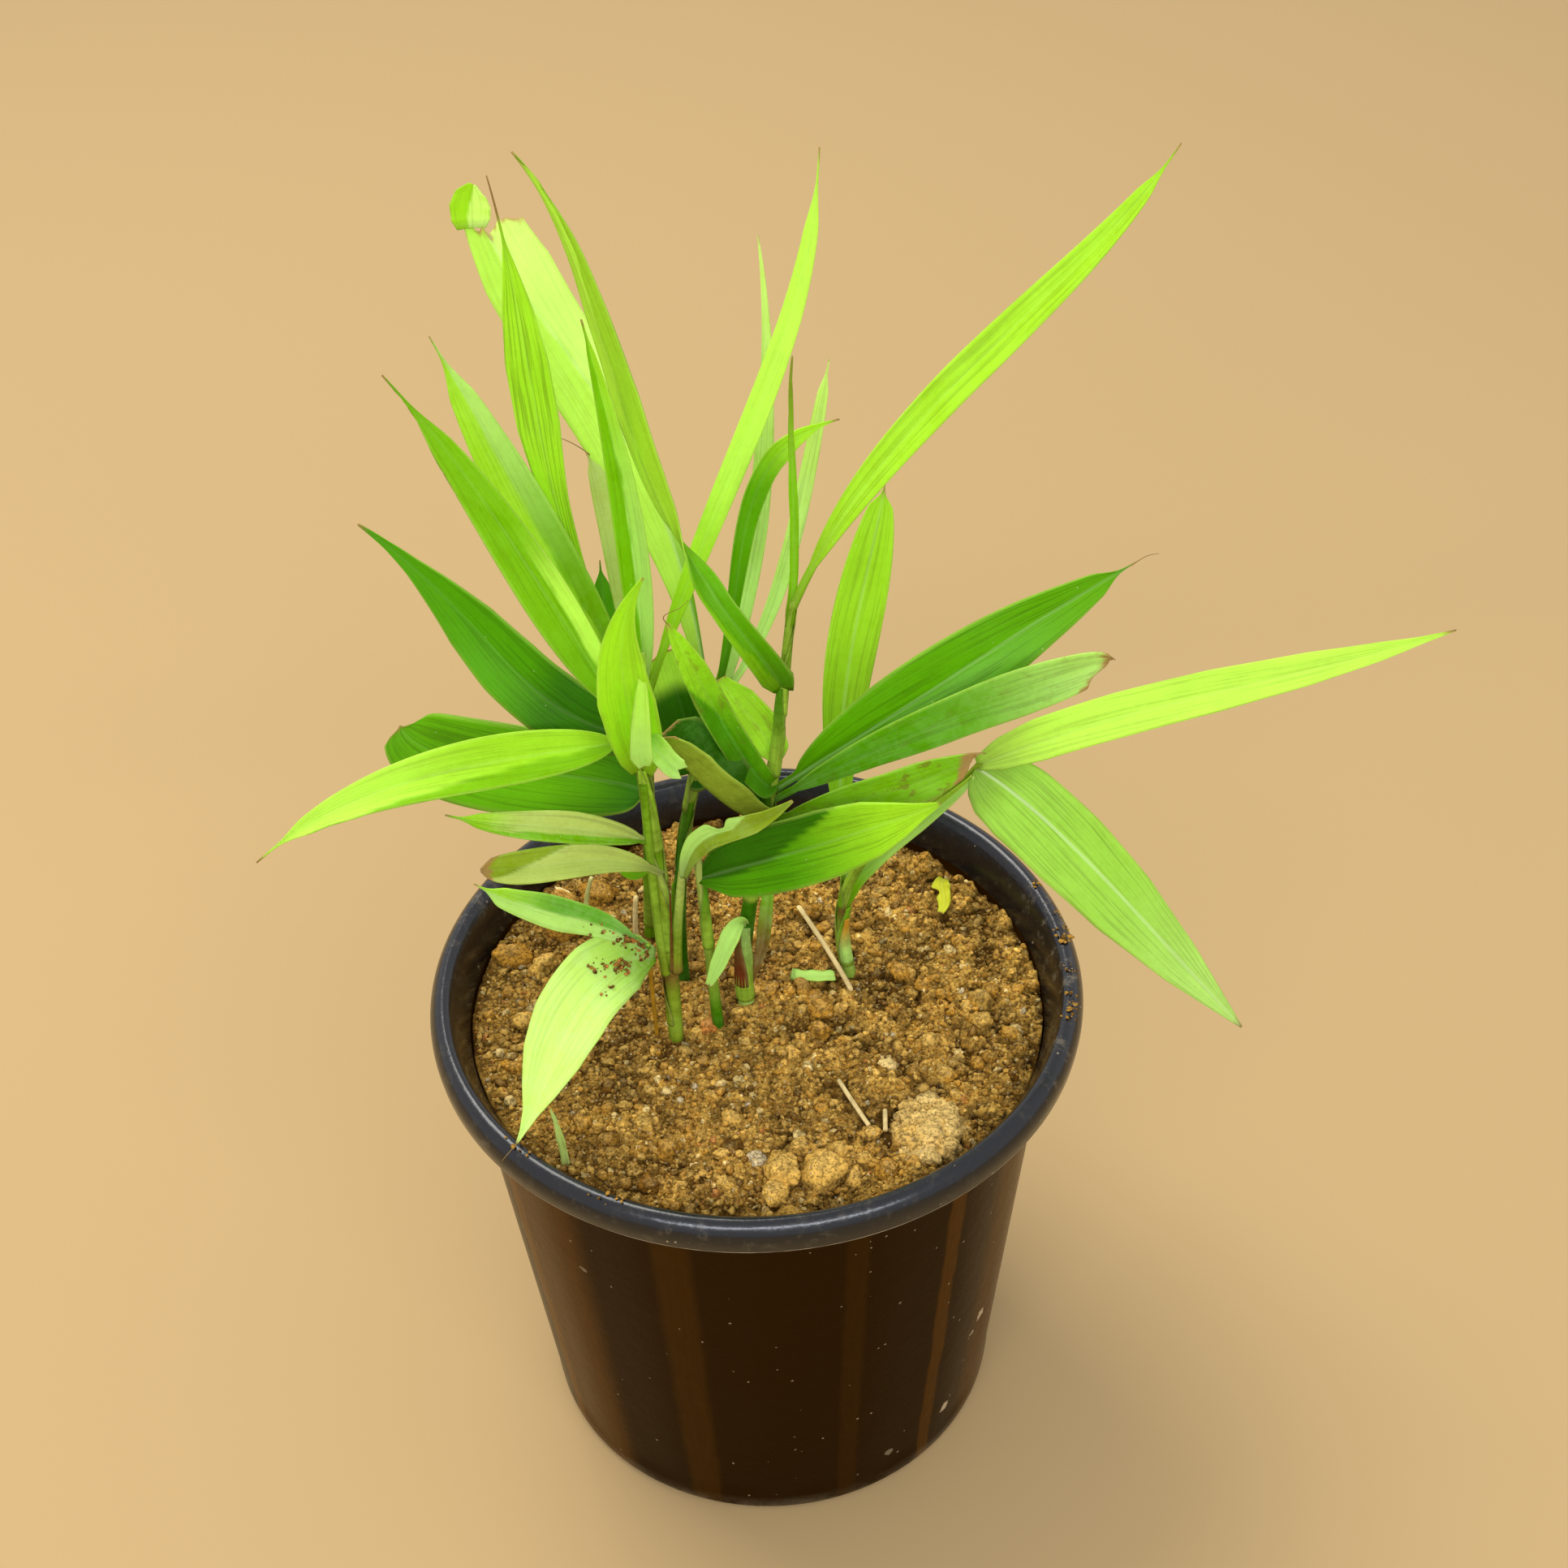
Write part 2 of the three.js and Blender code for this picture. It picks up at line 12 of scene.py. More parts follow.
import bmesh
import bpy
import numpy as np
from bpy.types import ID, Material, Node, NodeSocket, NodeTree, Object
from mathutils import Matrix, Vector


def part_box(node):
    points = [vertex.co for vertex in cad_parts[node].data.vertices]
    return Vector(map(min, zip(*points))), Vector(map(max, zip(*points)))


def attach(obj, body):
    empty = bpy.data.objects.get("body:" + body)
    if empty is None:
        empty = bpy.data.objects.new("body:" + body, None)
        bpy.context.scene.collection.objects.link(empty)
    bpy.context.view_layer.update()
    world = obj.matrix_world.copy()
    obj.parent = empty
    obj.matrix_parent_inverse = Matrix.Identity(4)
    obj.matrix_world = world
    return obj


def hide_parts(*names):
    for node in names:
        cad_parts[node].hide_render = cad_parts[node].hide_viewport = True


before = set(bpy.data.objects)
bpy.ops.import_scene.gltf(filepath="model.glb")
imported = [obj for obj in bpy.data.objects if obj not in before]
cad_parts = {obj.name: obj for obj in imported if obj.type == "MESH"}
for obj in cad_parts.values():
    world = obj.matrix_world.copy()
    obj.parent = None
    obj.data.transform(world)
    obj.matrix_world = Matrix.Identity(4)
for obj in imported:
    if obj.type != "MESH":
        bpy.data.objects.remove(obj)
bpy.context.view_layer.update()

LOG = logging.getLogger("plant")

MM = 0.001
BODY = "root"

# The photograph's frame and the camera that was fitted to the pot's lip and base in it
PHOTO_PX = 1932
FOCAL_PX = 3500
AIM_PX = (931, 1202)
AIM_POINT = np.array([0.0, 0.0, 174.0])
AIM_DISTANCE = 867.0
LOOK_DOWN = math.radians(41.5)
ROLL = math.radians(-2.07)

# The way that a leaf's upper face looks unless it is turned
FACING = np.array([0.0, -0.75, 0.66]) / math.hypot(0.75, 0.66)

SOIL_LEVEL = 160.0
SOIL_LUMP = 1.6

Array = np.ndarray
Colour = tuple[float, float, float]
Place = tuple[float, float, float]
Pairs = tuple[tuple[float, float], ...]
Values = dict[str, Array]


def smooth(x: Array, low: float, high: float) -> Array:
    """A smooth step from 0 at `low` to 1 at `high`: 3s^2 - 2s^3 of the clamped share s."""
    s = np.clip((np.asarray(x, float) - low) / (high - low), 0.0, 1.0)
    return s * s * (3.0 - 2.0 * s)


def unit(vectors: Array) -> Array:
    """Vectors scaled to length 1 along their last axis."""
    return vectors / np.maximum(np.linalg.norm(vectors, axis=-1, keepdims=True), 1e-12)


def turned(vectors: Array, axes: Array, angles: Array) -> Array:
    """Vectors turned about unit axes.

    Args:
        vectors: (n, 3) vectors.
        axes: (n, 3) unit axes.
        angles: (n,) angles in radians.

    Returns:
        v cos a + (k x v) sin a + k (k . v)(1 - cos a), as (n, 3).
    """
    cos, sin = np.cos(angles)[:, None], np.sin(angles)[:, None]
    along = np.sum(axes * vectors, axis=-1, keepdims=True)
    return vectors * cos + np.cross(axes, vectors) * sin + axes * along * (1.0 - cos)


def blend_colours(a: Array | Colour, b: Array | Colour, share: Array) -> Array:
    """Colours a and b mixed, point by point, with `share` of b."""
    a = np.asarray(a, float)
    return a + (np.asarray(b) - a) * np.asarray(share)[..., None]


class Lattice:
    """Smooth random values in space: a seeded lattice of values, blended between corners."""

    SIZE = 24
    OCTAVE_SHIFT = 7.3

    def __init__(self, seed: int) -> None:
        """Draws the lattice's values from `seed`."""
        self.values = np.random.default_rng(seed).uniform(-1, 1, (self.SIZE,) * 3)

    def at(self, points: Array, pitch: float) -> Array:
        """The value at each point.

        Args:
            points: (..., 3) points.
            pitch: the lattice's spacing in the points' unit.

        Returns:
            Trilinear mix of the eight corner values with smoothed shares, from -1 to 1.
        """
        grid = np.asarray(points, float) / pitch
        base = np.floor(grid).astype(int)
        share = grid - base
        share = share * share * (3.0 - 2.0 * share)
        total = np.zeros(grid.shape[:-1])
        for corner in np.ndindex(2, 2, 2):
            weight = np.prod(np.where(corner, share, 1.0 - share), axis=-1)
            index = (base + corner) % self.SIZE
            total += weight * self.values[index[..., 0], index[..., 1], index[..., 2]]
        return total

    def fractal(self, points: Array, pitch: float, octaves: int = 4) -> Array:
        """A sum of octaves, each at half the pitch and half the height of the one before."""
        total = np.zeros(np.asarray(points).shape[:-1])
        for i in range(octaves):
            total += self.at(np.asarray(points) + self.OCTAVE_SHIFT * i, pitch / 2**i) / 2**i
        return total


class Through:
    """A curve through evenly spaced places: the one polynomial that passes them all."""

    STEP = 1e-3
    HALVINGS = 30

    def __init__(self, places: tuple[Place, ...] | list[Place]) -> None:
        """Keeps the places that the curve passes."""
        self.places = np.asarray(places, float)

    def points(self, t: Array) -> Array:
        """Points of the curve: the sum of the places, each times the product over the others
        of (t last - j) / (i - j), for parameters t from 0 to 1, as (n, 3)."""
        last = len(self.places) - 1
        total = np.zeros((len(t), 3))
        for i, place in enumerate(self.places):
            weight = np.ones(len(t))
            for j in range(last + 1):
                if j != i:
                    weight = weight * (t * last - j) / (i - j)
            total += weight[:, None] * place
        return total

    def tangents(self, t: Array) -> Array:
        """Unit tangents, from the points a small step before and after."""
        return unit(self.points(t + self.STEP) - self.points(t - self.STEP))

    def at_height(self, height: float) -> float:
        """The parameter at which a rising curve reaches a height, by bisection."""
        low, high = 0.0, 1.0
        for _ in range(self.HALVINGS):
            middle = (low + high) / 2
            below = self.points(np.array([middle]))[0, 2] < height
            low, high = (middle, high) if below else (low, middle)
        return low


def linked(name: str, data: ID) -> Object:
    """A new object with the given data, in the scene and at its origin."""
    made = bpy.data.objects.new(name, data)
    bpy.context.scene.collection.objects.link(made)
    return made


@dataclass
class Surface:
    """A closed surface being gathered: points in millimetres, faces and values for each point.

    The values are `skin` and `glow`, the colours of the face and of light coming through it,
    `form` (the midrib's strength, the way across from -1 to 1, gloss), `flat` (millimetres
    along, millimetres across, a seed), `traits` (lines across, bloom, dirt) and `marks`
    (how strongly the lines and the blotches show).
    """

    points: Array
    quads: Array
    triangles: Array = field(default_factory=lambda: np.zeros((0, 3), int))
    values: Values = field(default_factory=dict)

    @staticmethod
    def joined(parts: list["Surface"]) -> "Surface":
        """All parts in one surface, with their faces renumbered."""
        starts = np.cumsum([0] + [len(p.points) for p in parts[:-1]])
        return Surface(
            np.concatenate([p.points for p in parts]),
            np.concatenate([p.quads + s for p, s in zip(parts, starts)]),
            np.concatenate([p.triangles + s for p, s in zip(parts, starts)]),
            {k: np.concatenate([p.values[k] for p in parts]) for k in parts[0].values},
        )

    def build(self, name: str, material: Material, smooth_faces: bool = True) -> Object:
        """Makes the Blender object.

        Args:
            name: the piece's name.
            material: the finish of its one slot.
            smooth_faces: whether its faces are shaded smooth.

        Returns:
            The linked object, at the origin, with its place in its mesh.
        """
        mesh = bpy.data.meshes.new(name)
        mesh.vertices.add(len(self.points))
        mesh.vertices.foreach_set("co", (self.points * MM).astype(np.float32).ravel())
        corners = np.concatenate([self.quads.ravel(), self.triangles.ravel()])
        sizes = np.concatenate([np.full(len(self.quads), 4), np.full(len(self.triangles), 3)])
        mesh.loops.add(len(corners))
        mesh.loops.foreach_set("vertex_index", corners.astype(np.int32))
        mesh.polygons.add(len(sizes))
        starts = np.concatenate([[0], np.cumsum(sizes)[:-1]])
        mesh.polygons.foreach_set("loop_start", starts.astype(np.int32))
        mesh.polygons.foreach_set("use_smooth", np.full(len(sizes), smooth_faces))
        mesh.update(calc_edges=True)
        for key, value in self.values.items():
            kind, part = ("FLOAT_COLOR", "color") if value.shape[1] == 4 else ("FLOAT_VECTOR", "vector")
            layer = mesh.attributes.new(key, kind, "POINT")
            layer.data.foreach_set(part, value.astype(np.float32).ravel())
        mesh.materials.append(material)
        return linked(name, mesh)


def opaque(colours: Array) -> Array:
    """Colours with an alpha of 1 added, as the mesh's colour layers want them."""
    return np.concatenate([colours, np.ones(colours.shape[:-1] + (1,))], axis=-1)


def grid_quads(rows: int, columns: int, around: bool = False) -> Array:
    """The quads of a grid of points.

    Args:
        rows: rows of points.
        columns: points in each row.
        around: whether each row closes on itself.

    Returns:
        (n, 4) indices: (i, j), (i, j+1), (i+1, j+1), (i+1, j).
    """
    i, j = np.meshgrid(np.arange(rows - 1), np.arange(columns if around else columns - 1), indexing="ij")
    k = (j + 1) % columns
    low, high = i * columns, (i + 1) * columns
    return np.stack([low + j, low + k, high + k, high + j], -1).reshape(-1, 4)


def rim_places(rows: int, columns: int) -> Array:
    """The indices of the points on a grid's rim, in order round it."""
    index = np.arange(rows * columns).reshape(rows, columns)
    return np.concatenate([index[0, :-1], index[:-1, -1], index[-1, :0:-1], index[:0:-1, 0]])


def even_angles(sides: int) -> Array:
    """Evenly spaced angles once round, in radians."""
    return np.linspace(0, 2 * np.pi, sides, endpoint=False)


def round_rings(centre: Array, radius: float | Array, out: Array, side: Array, sides: int) -> Array:
    """Circles of points: centre + radius (out cos a + side sin a) over even angles a."""
    angle = even_angles(sides)[None, :, None]
    return centre[:, None] + radius * (np.cos(angle) * out + np.sin(angle) * side)


def tube_surface(rings: Array, values: Values) -> Surface:
    """A closed tube: rings of points counter-clockwise about its way, closed by a fan to a
    middle point at each end.

    Args:
        rings: (rows, sides, 3) points.
        values: named (rows, sides, k) values.

    Returns:
        The surface, with the two middle points last.
    """
    rows, sides = rings.shape[:2]
    points = np.concatenate([rings.reshape(-1, 3), rings[:1].mean(1), rings[-1:].mean(1)])
    step = np.arange(sides)
    after = (step + 1) % sides
    end = (rows - 1) * sides
    foot = np.stack([np.full(sides, rows * sides), after, step], -1)
    head = np.stack([np.full(sides, rows * sides + 1), end + step, end + after], -1)
    flat = {}
    for key, value in values.items():
        ends = value[:1].mean(1), value[-1:].mean(1)
        flat[key] = np.concatenate([value.reshape(-1, value.shape[-1]), *ends])
    return Surface(points, grid_quads(rows, sides, around=True), np.concatenate([foot, head]), flat)


def sheet_surface(over: Array, under: Array, values: list[Values]) -> Surface:
    """A thin closed sheet: an upper and a lower grid of points, joined round their rim.

    Args:
        over: (rows, columns, 3) points of the upper face.
        under: the same for the lower face.
        values: named values of both faces.

    Returns:
        The closed surface.
    """
    rows, columns = over.shape[:2]
    count = rows * columns
    top = grid_quads(rows, columns)
    rim = rim_places(rows, columns)
    after = np.roll(rim, -1)
    side = np.stack([after, rim, rim + count, after + count], -1)
    quads = np.concatenate([top, top[:, ::-1] + count, side])
    both = {k: np.concatenate([v[k].reshape(count, -1) for v in values]) for k in values[0]}
    return Surface(np.concatenate([over.reshape(-1, 3), under.reshape(-1, 3)]), quads, values=both)


class Graph:
    """A node tree being drawn: each method adds a node and gives back the socket that counts."""

    def __init__(self, tree: NodeTree) -> None:
        """Takes the tree to draw in."""
        self.tree = tree

    def feed(self, socket: NodeSocket, value: object) -> None:
        """Links another socket to this one, or sets its own value; a colour gets an alpha of 1."""
        if isinstance(value, NodeSocket):
            self.tree.links.new(value, socket)
        elif isinstance(value, tuple) and socket.type == "RGBA":
            socket.default_value = (*value, 1.0)[:4]
        else:
            socket.default_value = value

    def node(self, kind: str, inputs: dict, **settings: object) -> Node:
        """Adds a node.

        Args:
            kind: the shader node's type name, without "ShaderNode".
            inputs: values or sockets by input name or number.
            **settings: properties of the node.

        Returns:
            The node.
        """
        made = self.tree.nodes.new("ShaderNode" + kind)
        for key, value in settings.items():
            setattr(made, key, value)
        for key, value in inputs.items():
            self.feed(made.inputs[key], value)
        return made

    def math(self, kind: str, a: object, b: object = 0.0, clamp: bool = False) -> NodeSocket:
        """One arithmetic step on numbers or sockets."""
        return self.node("Math", {0: a, 1: b}, operation=kind, use_clamp=clamp).outputs[0]

    def times(self, a: object, b: object) -> NodeSocket:
        """a times b."""
        return self.math("MULTIPLY", a, b)

    def plus(self, a: object, b: object, clamp: bool = False) -> NodeSocket:
        """a plus b."""
        return self.math("ADD", a, b, clamp)

    def less(self, a: object, b: object) -> NodeSocket:
        """a less b."""
        return self.math("SUBTRACT", a, b)

    def most(self, a: object, b: object) -> NodeSocket:
        """The larger of a and b."""
        return self.math("MAXIMUM", a, b)

    def step(self, value: object, low: float, high: float,
             to_low: float = 0.0, to_high: float = 1.0) -> NodeSocket:
        """A smooth step of a value from `low` to `high`."""
        inputs = {"Value": value, "From Min": low, "From Max": high, "To Min": to_low, "To Max": to_high}
        return self.node("MapRange", inputs, interpolation_type="SMOOTHSTEP").outputs["Result"]

    def mix(self, share: object, a: object, b: object, kind: str = "MIX") -> NodeSocket:
        """Two colours mixed, with `share` of b."""
        inputs = {"Factor": share, 6: a, 7: b}
        return self.node("Mix", inputs, data_type="RGBA", blend_type=kind).outputs[2]

    def noise(self, vector: object, scale: object, detail: float = 3.0, rough: float = 0.55) -> NodeSocket:
        """Smooth noise from 0 to 1."""
        inputs = {"Vector": vector, "Scale": scale, "Detail": detail, "Roughness": rough}
        return self.node("TexNoise", inputs).outputs["Fac"]

    def layer(self, name: str, output: str = "Vector") -> NodeSocket:
        """A value that the mesh carries."""
        return self.node("Attribute", {}, attribute_name=name, attribute_type="GEOMETRY").outputs[output]

    def parts(self, vector: NodeSocket) -> list[NodeSocket]:
        """The three numbers of a vector."""
        return list(self.node("SeparateXYZ", {0: vector}).outputs)

    def bump(self, height: object, distance: float) -> NodeSocket:
        """The normal of a skin that stands out by `distance` metres for each 1 of `height`."""
        return self.node("Bump", {"Strength": 1.0, "Distance": distance, "Height": height}).outputs[0]

    def group(self, tree: NodeTree, **inputs: object) -> Node:
        """Places a shared effect, with its inputs by their names."""
        return self.node("Group", inputs, node_tree=tree)


class Effects:
    """Shared shader effects, each built once: they put out masks and values only."""

    def __init__(self) -> None:
        """Builds the groups."""
        self.mottle = self._mottle()
        self.specks = self._specks()
        self.lines = self._lines()

    @staticmethod
    def _tree(name: str, inputs: dict[str, float], outputs: list[str]) -> tuple[Graph, Node, Node]:
        """Starts a group with a Vector input, named float inputs and named float outputs."""
        tree = bpy.data.node_groups.new(name, "ShaderNodeTree")
        tree.interface.new_socket("Vector", in_out="INPUT", socket_type="NodeSocketVector")
        for label, value in inputs.items():
            socket = tree.interface.new_socket(label, in_out="INPUT", socket_type="NodeSocketFloat")
            socket.default_value = value
        for label in outputs:
            tree.interface.new_socket(label, in_out="OUTPUT", socket_type="NodeSocketFloat")
        return Graph(tree), tree.nodes.new("NodeGroupInput"), tree.nodes.new("NodeGroupOutput")

    def _mottle(self) -> NodeTree:
        """Broad and fine patches: the mean of two noises, the second five times finer."""
        g, given, out = self._tree("mottle", {"Scale": 1.0}, ["Patches", "Grain"])
        vector, scale = given.outputs["Vector"], given.outputs["Scale"]
        broad = g.noise(vector, scale, 2.0)
        fine = g.noise(vector, g.times(scale, 5.0), 4.0, 0.65)
        g.feed(out.inputs["Patches"], g.times(g.plus(broad, fine), 0.5))
        g.feed(out.inputs["Grain"], fine)
        return g.tree

    def _specks(self) -> NodeTree:
        """Small round specks in a share of the cells of a pattern, each with a ragged edge."""
        g, given, out = self._tree("specks", {"Scale": 1.0, "Share": 0.1, "Size": 0.25}, ["Mask"])
        vector, scale = given.outputs["Vector"], given.outputs["Scale"]
        cells = g.node("TexVoronoi", {"Vector": vector, "Scale": scale}, feature="F1")
        chance = g.node("SeparateColor", {"Color": cells.outputs["Color"]}).outputs[0]
        chosen = g.math("LESS_THAN", chance, given.outputs["Share"])
        ragged = g.times(g.noise(vector, g.times(scale, 4.0)), 0.3)
        reach = g.plus(cells.outputs["Distance"], g.less(ragged, 0.15))
        inside = g.math("LESS_THAN", reach, given.outputs["Size"])
        g.feed(out.inputs["Mask"], g.times(chosen, inside))
        return g.tree

    def _lines(self) -> NodeTree:
        """Fine lines along a blade or stem: noise drawn out along it and squeezed across it."""
        g, given, out = self._tree("lines", {"Across": 0.0, "Number": 8.0}, ["Height"])
        along, _, seed = g.parts(given.outputs["Vector"])
        across = g.times(given.outputs["Across"], given.outputs["Number"])
        drawn = g.node("CombineXYZ", {0: g.times(along, 0.025), 1: across, 2: seed}).outputs[0]
        g.feed(out.inputs["Height"], g.noise(drawn, 1.0, 2.0, 0.6))
        return g.tree


def blank_material(name: str) -> tuple[Material, Graph]:
    """A new material without nodes, and the graph to draw it in."""
    material = bpy.data.materials.new(name)
    material.use_nodes = True
    material.node_tree.nodes.clear()
    return material, Graph(material.node_tree)


@dataclass(frozen=True)
class Shades:
    """The colours of a leaf: its upper face, its underside and the light through it."""

    upper: Colour
    under: Colour
    glow: Colour

    def face(self, side: int) -> Colour:
        """The colour of the upper face for 1, of the underside for -1."""
        return self.upper if side > 0 else self.under


class Tone(Enum):
    """The greens of the plant's leaves and stems, from old to young, and what has dried. DARK also serves as
    painted shade on some leaves.
    """

    DARK = Shades((0.035, 0.17, 0.001), (0.12, 0.24, 0.008), (0.06, 0.34, 0.001))
    DEEP = Shades((0.09, 0.33, 0.001), (0.2, 0.4, 0.012), (0.2, 0.6, 0.002))
    FRESH = Shades((0.12, 0.36, 0.001), (0.24, 0.44, 0.014), (0.25, 0.66, 0.003))
    SEA = Shades((0.15, 0.4, 0.03), (0.22, 0.45, 0.05), (0.28, 0.7, 0.03))
    MID = Shades((0.21, 0.45, 0.002), (0.32, 0.52, 0.02), (0.38, 0.82, 0.004))
    LIME = Shades((0.38, 0.67, 0.02), (0.45, 0.68, 0.05), (0.55, 0.94, 0.05))
    SOFT = Shades((0.34, 0.6, 0.06), (0.38, 0.6, 0.09), (0.46, 0.84, 0.08))
    BRIGHT = Shades((0.52, 0.8, 0.09), (0.55, 0.8, 0.12), (0.68, 1.0, 0.12))
    PALE = Shades((0.64, 0.9, 0.2), (0.66, 0.86, 0.24), (0.8, 1.0, 0.24))
    MILKY = Shades((0.48, 0.72, 0.17), (0.5, 0.72, 0.2), (0.6, 0.92, 0.18))
    GREY = Shades((0.52, 0.62, 0.14), (0.52, 0.62, 0.17), (0.52, 0.66, 0.1))
    OLIVE = Shades((0.29, 0.4, 0.014), (0.32, 0.42, 0.03), (0.38, 0.55, 0.01))
    SALLOW = Shades((0.62, 0.64, 0.03), (0.62, 0.64, 0.05), (0.8, 0.8, 0.05))
    STALK = Shades((0.36, 0.55, 0.04), (0.36, 0.55, 0.05), (0.42, 0.66, 0.04))
    STRAW = Shades((0.8, 0.6, 0.27), (0.76, 0.57, 0.26), (0.75, 0.55, 0.2))
    AMBER = Shades((0.66, 0.34, 0.02), (0.62, 0.3, 0.02), (0.7, 0.35, 0.03))
    RUST = Shades((0.2, 0.03, 0.006), (0.2, 0.03, 0.006), (0.25, 0.05, 0.01))
    BROWN = Shades((0.26, 0.13, 0.025), (0.26, 0.13, 0.03), (0.25, 0.12, 0.03))


DRY_TIP = (0.42, 0.25, 0.07)
RIB = (0.68, 0.84, 0.42)


@dataclass(frozen=True)
class Leaf:
    """One leaf: where it runs, its form, and what it looks like.

    `start` is the height at which it leaves its stem, or None where the first place is its
    start. `turn` rolls it about its midrib, `twist` adds to that along it, `fold` lifts
    both halves, `swell` and `taper` shape its outline, `ripple` is how far its edges wave.
    `bias` (at the base, at the tip) widens the half of positive places across and narrows the
    other. `line` runs through (place along, place across), and what lies below it has the tone
    `beyond` and stands out by `step` millimetres. `point` is the share of its length that is
    drawn out thin, `tail` holds the further places of a dried thread, measured from the tip,
    and `outline` takes the place of the shape with (place, share of the width) where it is
    given. `torn` tells how much of its length the ragged end lacks at places across, and
    `bites` are (side, place, depth, length).
    """

    start: float | None
    places: tuple[Place, ...]
    width: float
    tone: Tone
    tip_tone: Tone | None = None
    fade: tuple[float, float] = (0.3, 0.9)
    turn: float = 0.0
    twist: float = 0.0
    twist_at: float = 0.5
    twist_span: float = 1.0
    fold: float = 8.0
    swell: float = 0.6
    taper: float = 0.9
    ripple: float = 0.5
    bloom: float = 0.03
    dirt: float = 0.0
    dry_from: float = 0.975
    rib: float = 0.06
    gloss: float = 0.3
    veins: float = 0.4
    blotch: float = 0.15
    point: float = 0.08
    bias: tuple[float, float] = (0.0, 0.0)
    line: Pairs = ((0, 0), (1, 0))
    beyond: Tone | None = None
    step: float = 0.0
    tail: tuple[Place, ...] = ()
    outline: Pairs = ()
    torn: Pairs = ()
    bites: tuple[tuple[float, float, float, float], ...] = ()


@dataclass
class Blade:
    """A leaf's surface: a grid of points along its midrib and across it."""

    leaf: Leaf
    axis: Through | None
    seed: int
    rows: int = 74
    columns: int = 17
    facing: Array = field(default_factory=lambda: FACING)

    STALK = 1.7
    STALK_SHARE = 0.06
    THICK = 0.42
    STALK_HALF_WIDTH = 1.1
    TIP_HALF_WIDTH = 0.16
    WAVES = 2.5
    CRIMPS = 8.5
    WOBBLE = 0.5
    WOBBLE_PITCH = 15.0
    LINE_PITCH = 0.8
    RIB_HALF_WIDTH = 0.75
    EDGE_TINT = (0.5, 0.66, 0.1)

    def __post_init__(self) -> None:
        """Finds the midrib and draws the leaf's own unevenness."""
        leaf = self.leaf
        first = []
        if leaf.start is not None and self.axis is not None:
            t = self.axis.at_height(leaf.start)
            first = [tuple(self.axis.points(np.array([t]))[0])]
        self.midrib = Through(first + list(leaf.places))
        self.uneven = Lattice(self.seed)
        steps = self.midrib.points(np.linspace(0, 1, 60))
        self.length = float(np.linalg.norm(np.diff(steps, axis=0), axis=1).sum())

    def half_width(self, t: Array, v: Array) -> Array:
        """Half the blade's width: s^swell (1 - s)^taper, scaled to 1 at its widest, or the leaf's
        own outline, times half the width. It is drawn in over the point, is never less than
        the stalk or the tip, and has each bite taken off as a bell on its own side."""
        leaf = self.leaf
        s = np.clip((t - self.STALK_SHARE) / (1 - self.STALK_SHARE), 0.0, 1.0)
        widest = leaf.swell / (leaf.swell + leaf.taper)
        share = s**leaf.swell * (1 - s) ** leaf.taper / (widest**leaf.swell * (1 - widest) ** leaf.taper)
        if leaf.outline:
            share = np.interp(t, *zip(*leaf.outline))
        elif not leaf.torn:
            share = share * (1 - 0.8 * smooth(t, 1 - 1.9 * leaf.point, 1 - 0.5 * leaf.point))
        least = np.interp(t, (0.5, 1.0), (self.STALK_HALF_WIDTH, self.TIP_HALF_WIDTH))
        half = np.maximum(leaf.width / 2 * share, least) * (1 + np.interp(t, (0, 1), leaf.bias) * np.sign(v))
        for side, place, depth, length in leaf.bites:
            bell = np.exp(-(np.abs((t - place) / length) ** 3)) * (v * side > 0)
            half = half * (1 - depth * bell)
        return half

    def middle(self, t: Array, v: Array) -> Array:
        """The middle of the blade's thickness.

        Args:
            t: (n,) places along the midrib, 0 to 1.
            v: (n,) places across, -1 to 1.

        Returns:
            (n, 3) points: the midrib's point, out along the width by half v cos(fold), and up
            along the normal by half |v| sin(fold), with the crease rounded, the edge's waves
            and crimps, a slow random wobble and the step below the leaf's line.
        """
        leaf = self.leaf
        centre, along = self.midrib.points(t), self.midrib.tangents(t)
        facing = np.broadcast_to(self.facing, along.shape)
        normal = unit(facing - along * np.sum(facing * along, -1, keepdims=True))
        share = smooth((t - leaf.twist_at) / leaf.twist_span + 0.5, 0, 1)
        normal = turned(normal, along, np.radians(leaf.turn + leaf.twist * share))
        across = np.cross(along, normal)
        half = self.half_width(t, v)
        fold = math.radians(leaf.fold)
        crease = np.sqrt(v**2 + 0.006) - 0.077
        phase = np.where(v > 0, 1.3, 0.0)
        wave = leaf.ripple * v**2 * np.sin(self.WAVES * 2 * np.pi * t + phase) * half / leaf.width
        small = np.sin(self.CRIMPS * 2 * np.pi * t + 3 * phase + self.seed)
        crimp = 0.05 * leaf.ripple * v**4 * small * smooth(half, 2, 6)
        where = np.stack([t * self.length, v * half, np.full_like(t, 9.1 * self.seed)], -1)
        wobble = self.WOBBLE * self.uneven.at(where, self.WOBBLE_PITCH) * smooth(t, 0.05, 0.3)
        up = half * crease * math.sin(fold) + wave + crimp + wobble
        up = up + leaf.step * self.below_line(t, v)
        return centre + across * (half * v * math.cos(fold))[:, None] + normal * up[:, None]

    def below_line(self, t: Array, v: Array) -> Array:
        """1 for places below the leaf's line, 0 above it, with a slightly uneven edge."""
        edge = np.interp(t, *zip(*self.leaf.line))
        uneven = 0.12 * self.uneven.at(np.stack([t * self.length, 0 * v, 0 * v + 3 * self.seed], -1), 7.0)
        return 1 - smooth(v - edge - uneven, -0.05, 0.05)

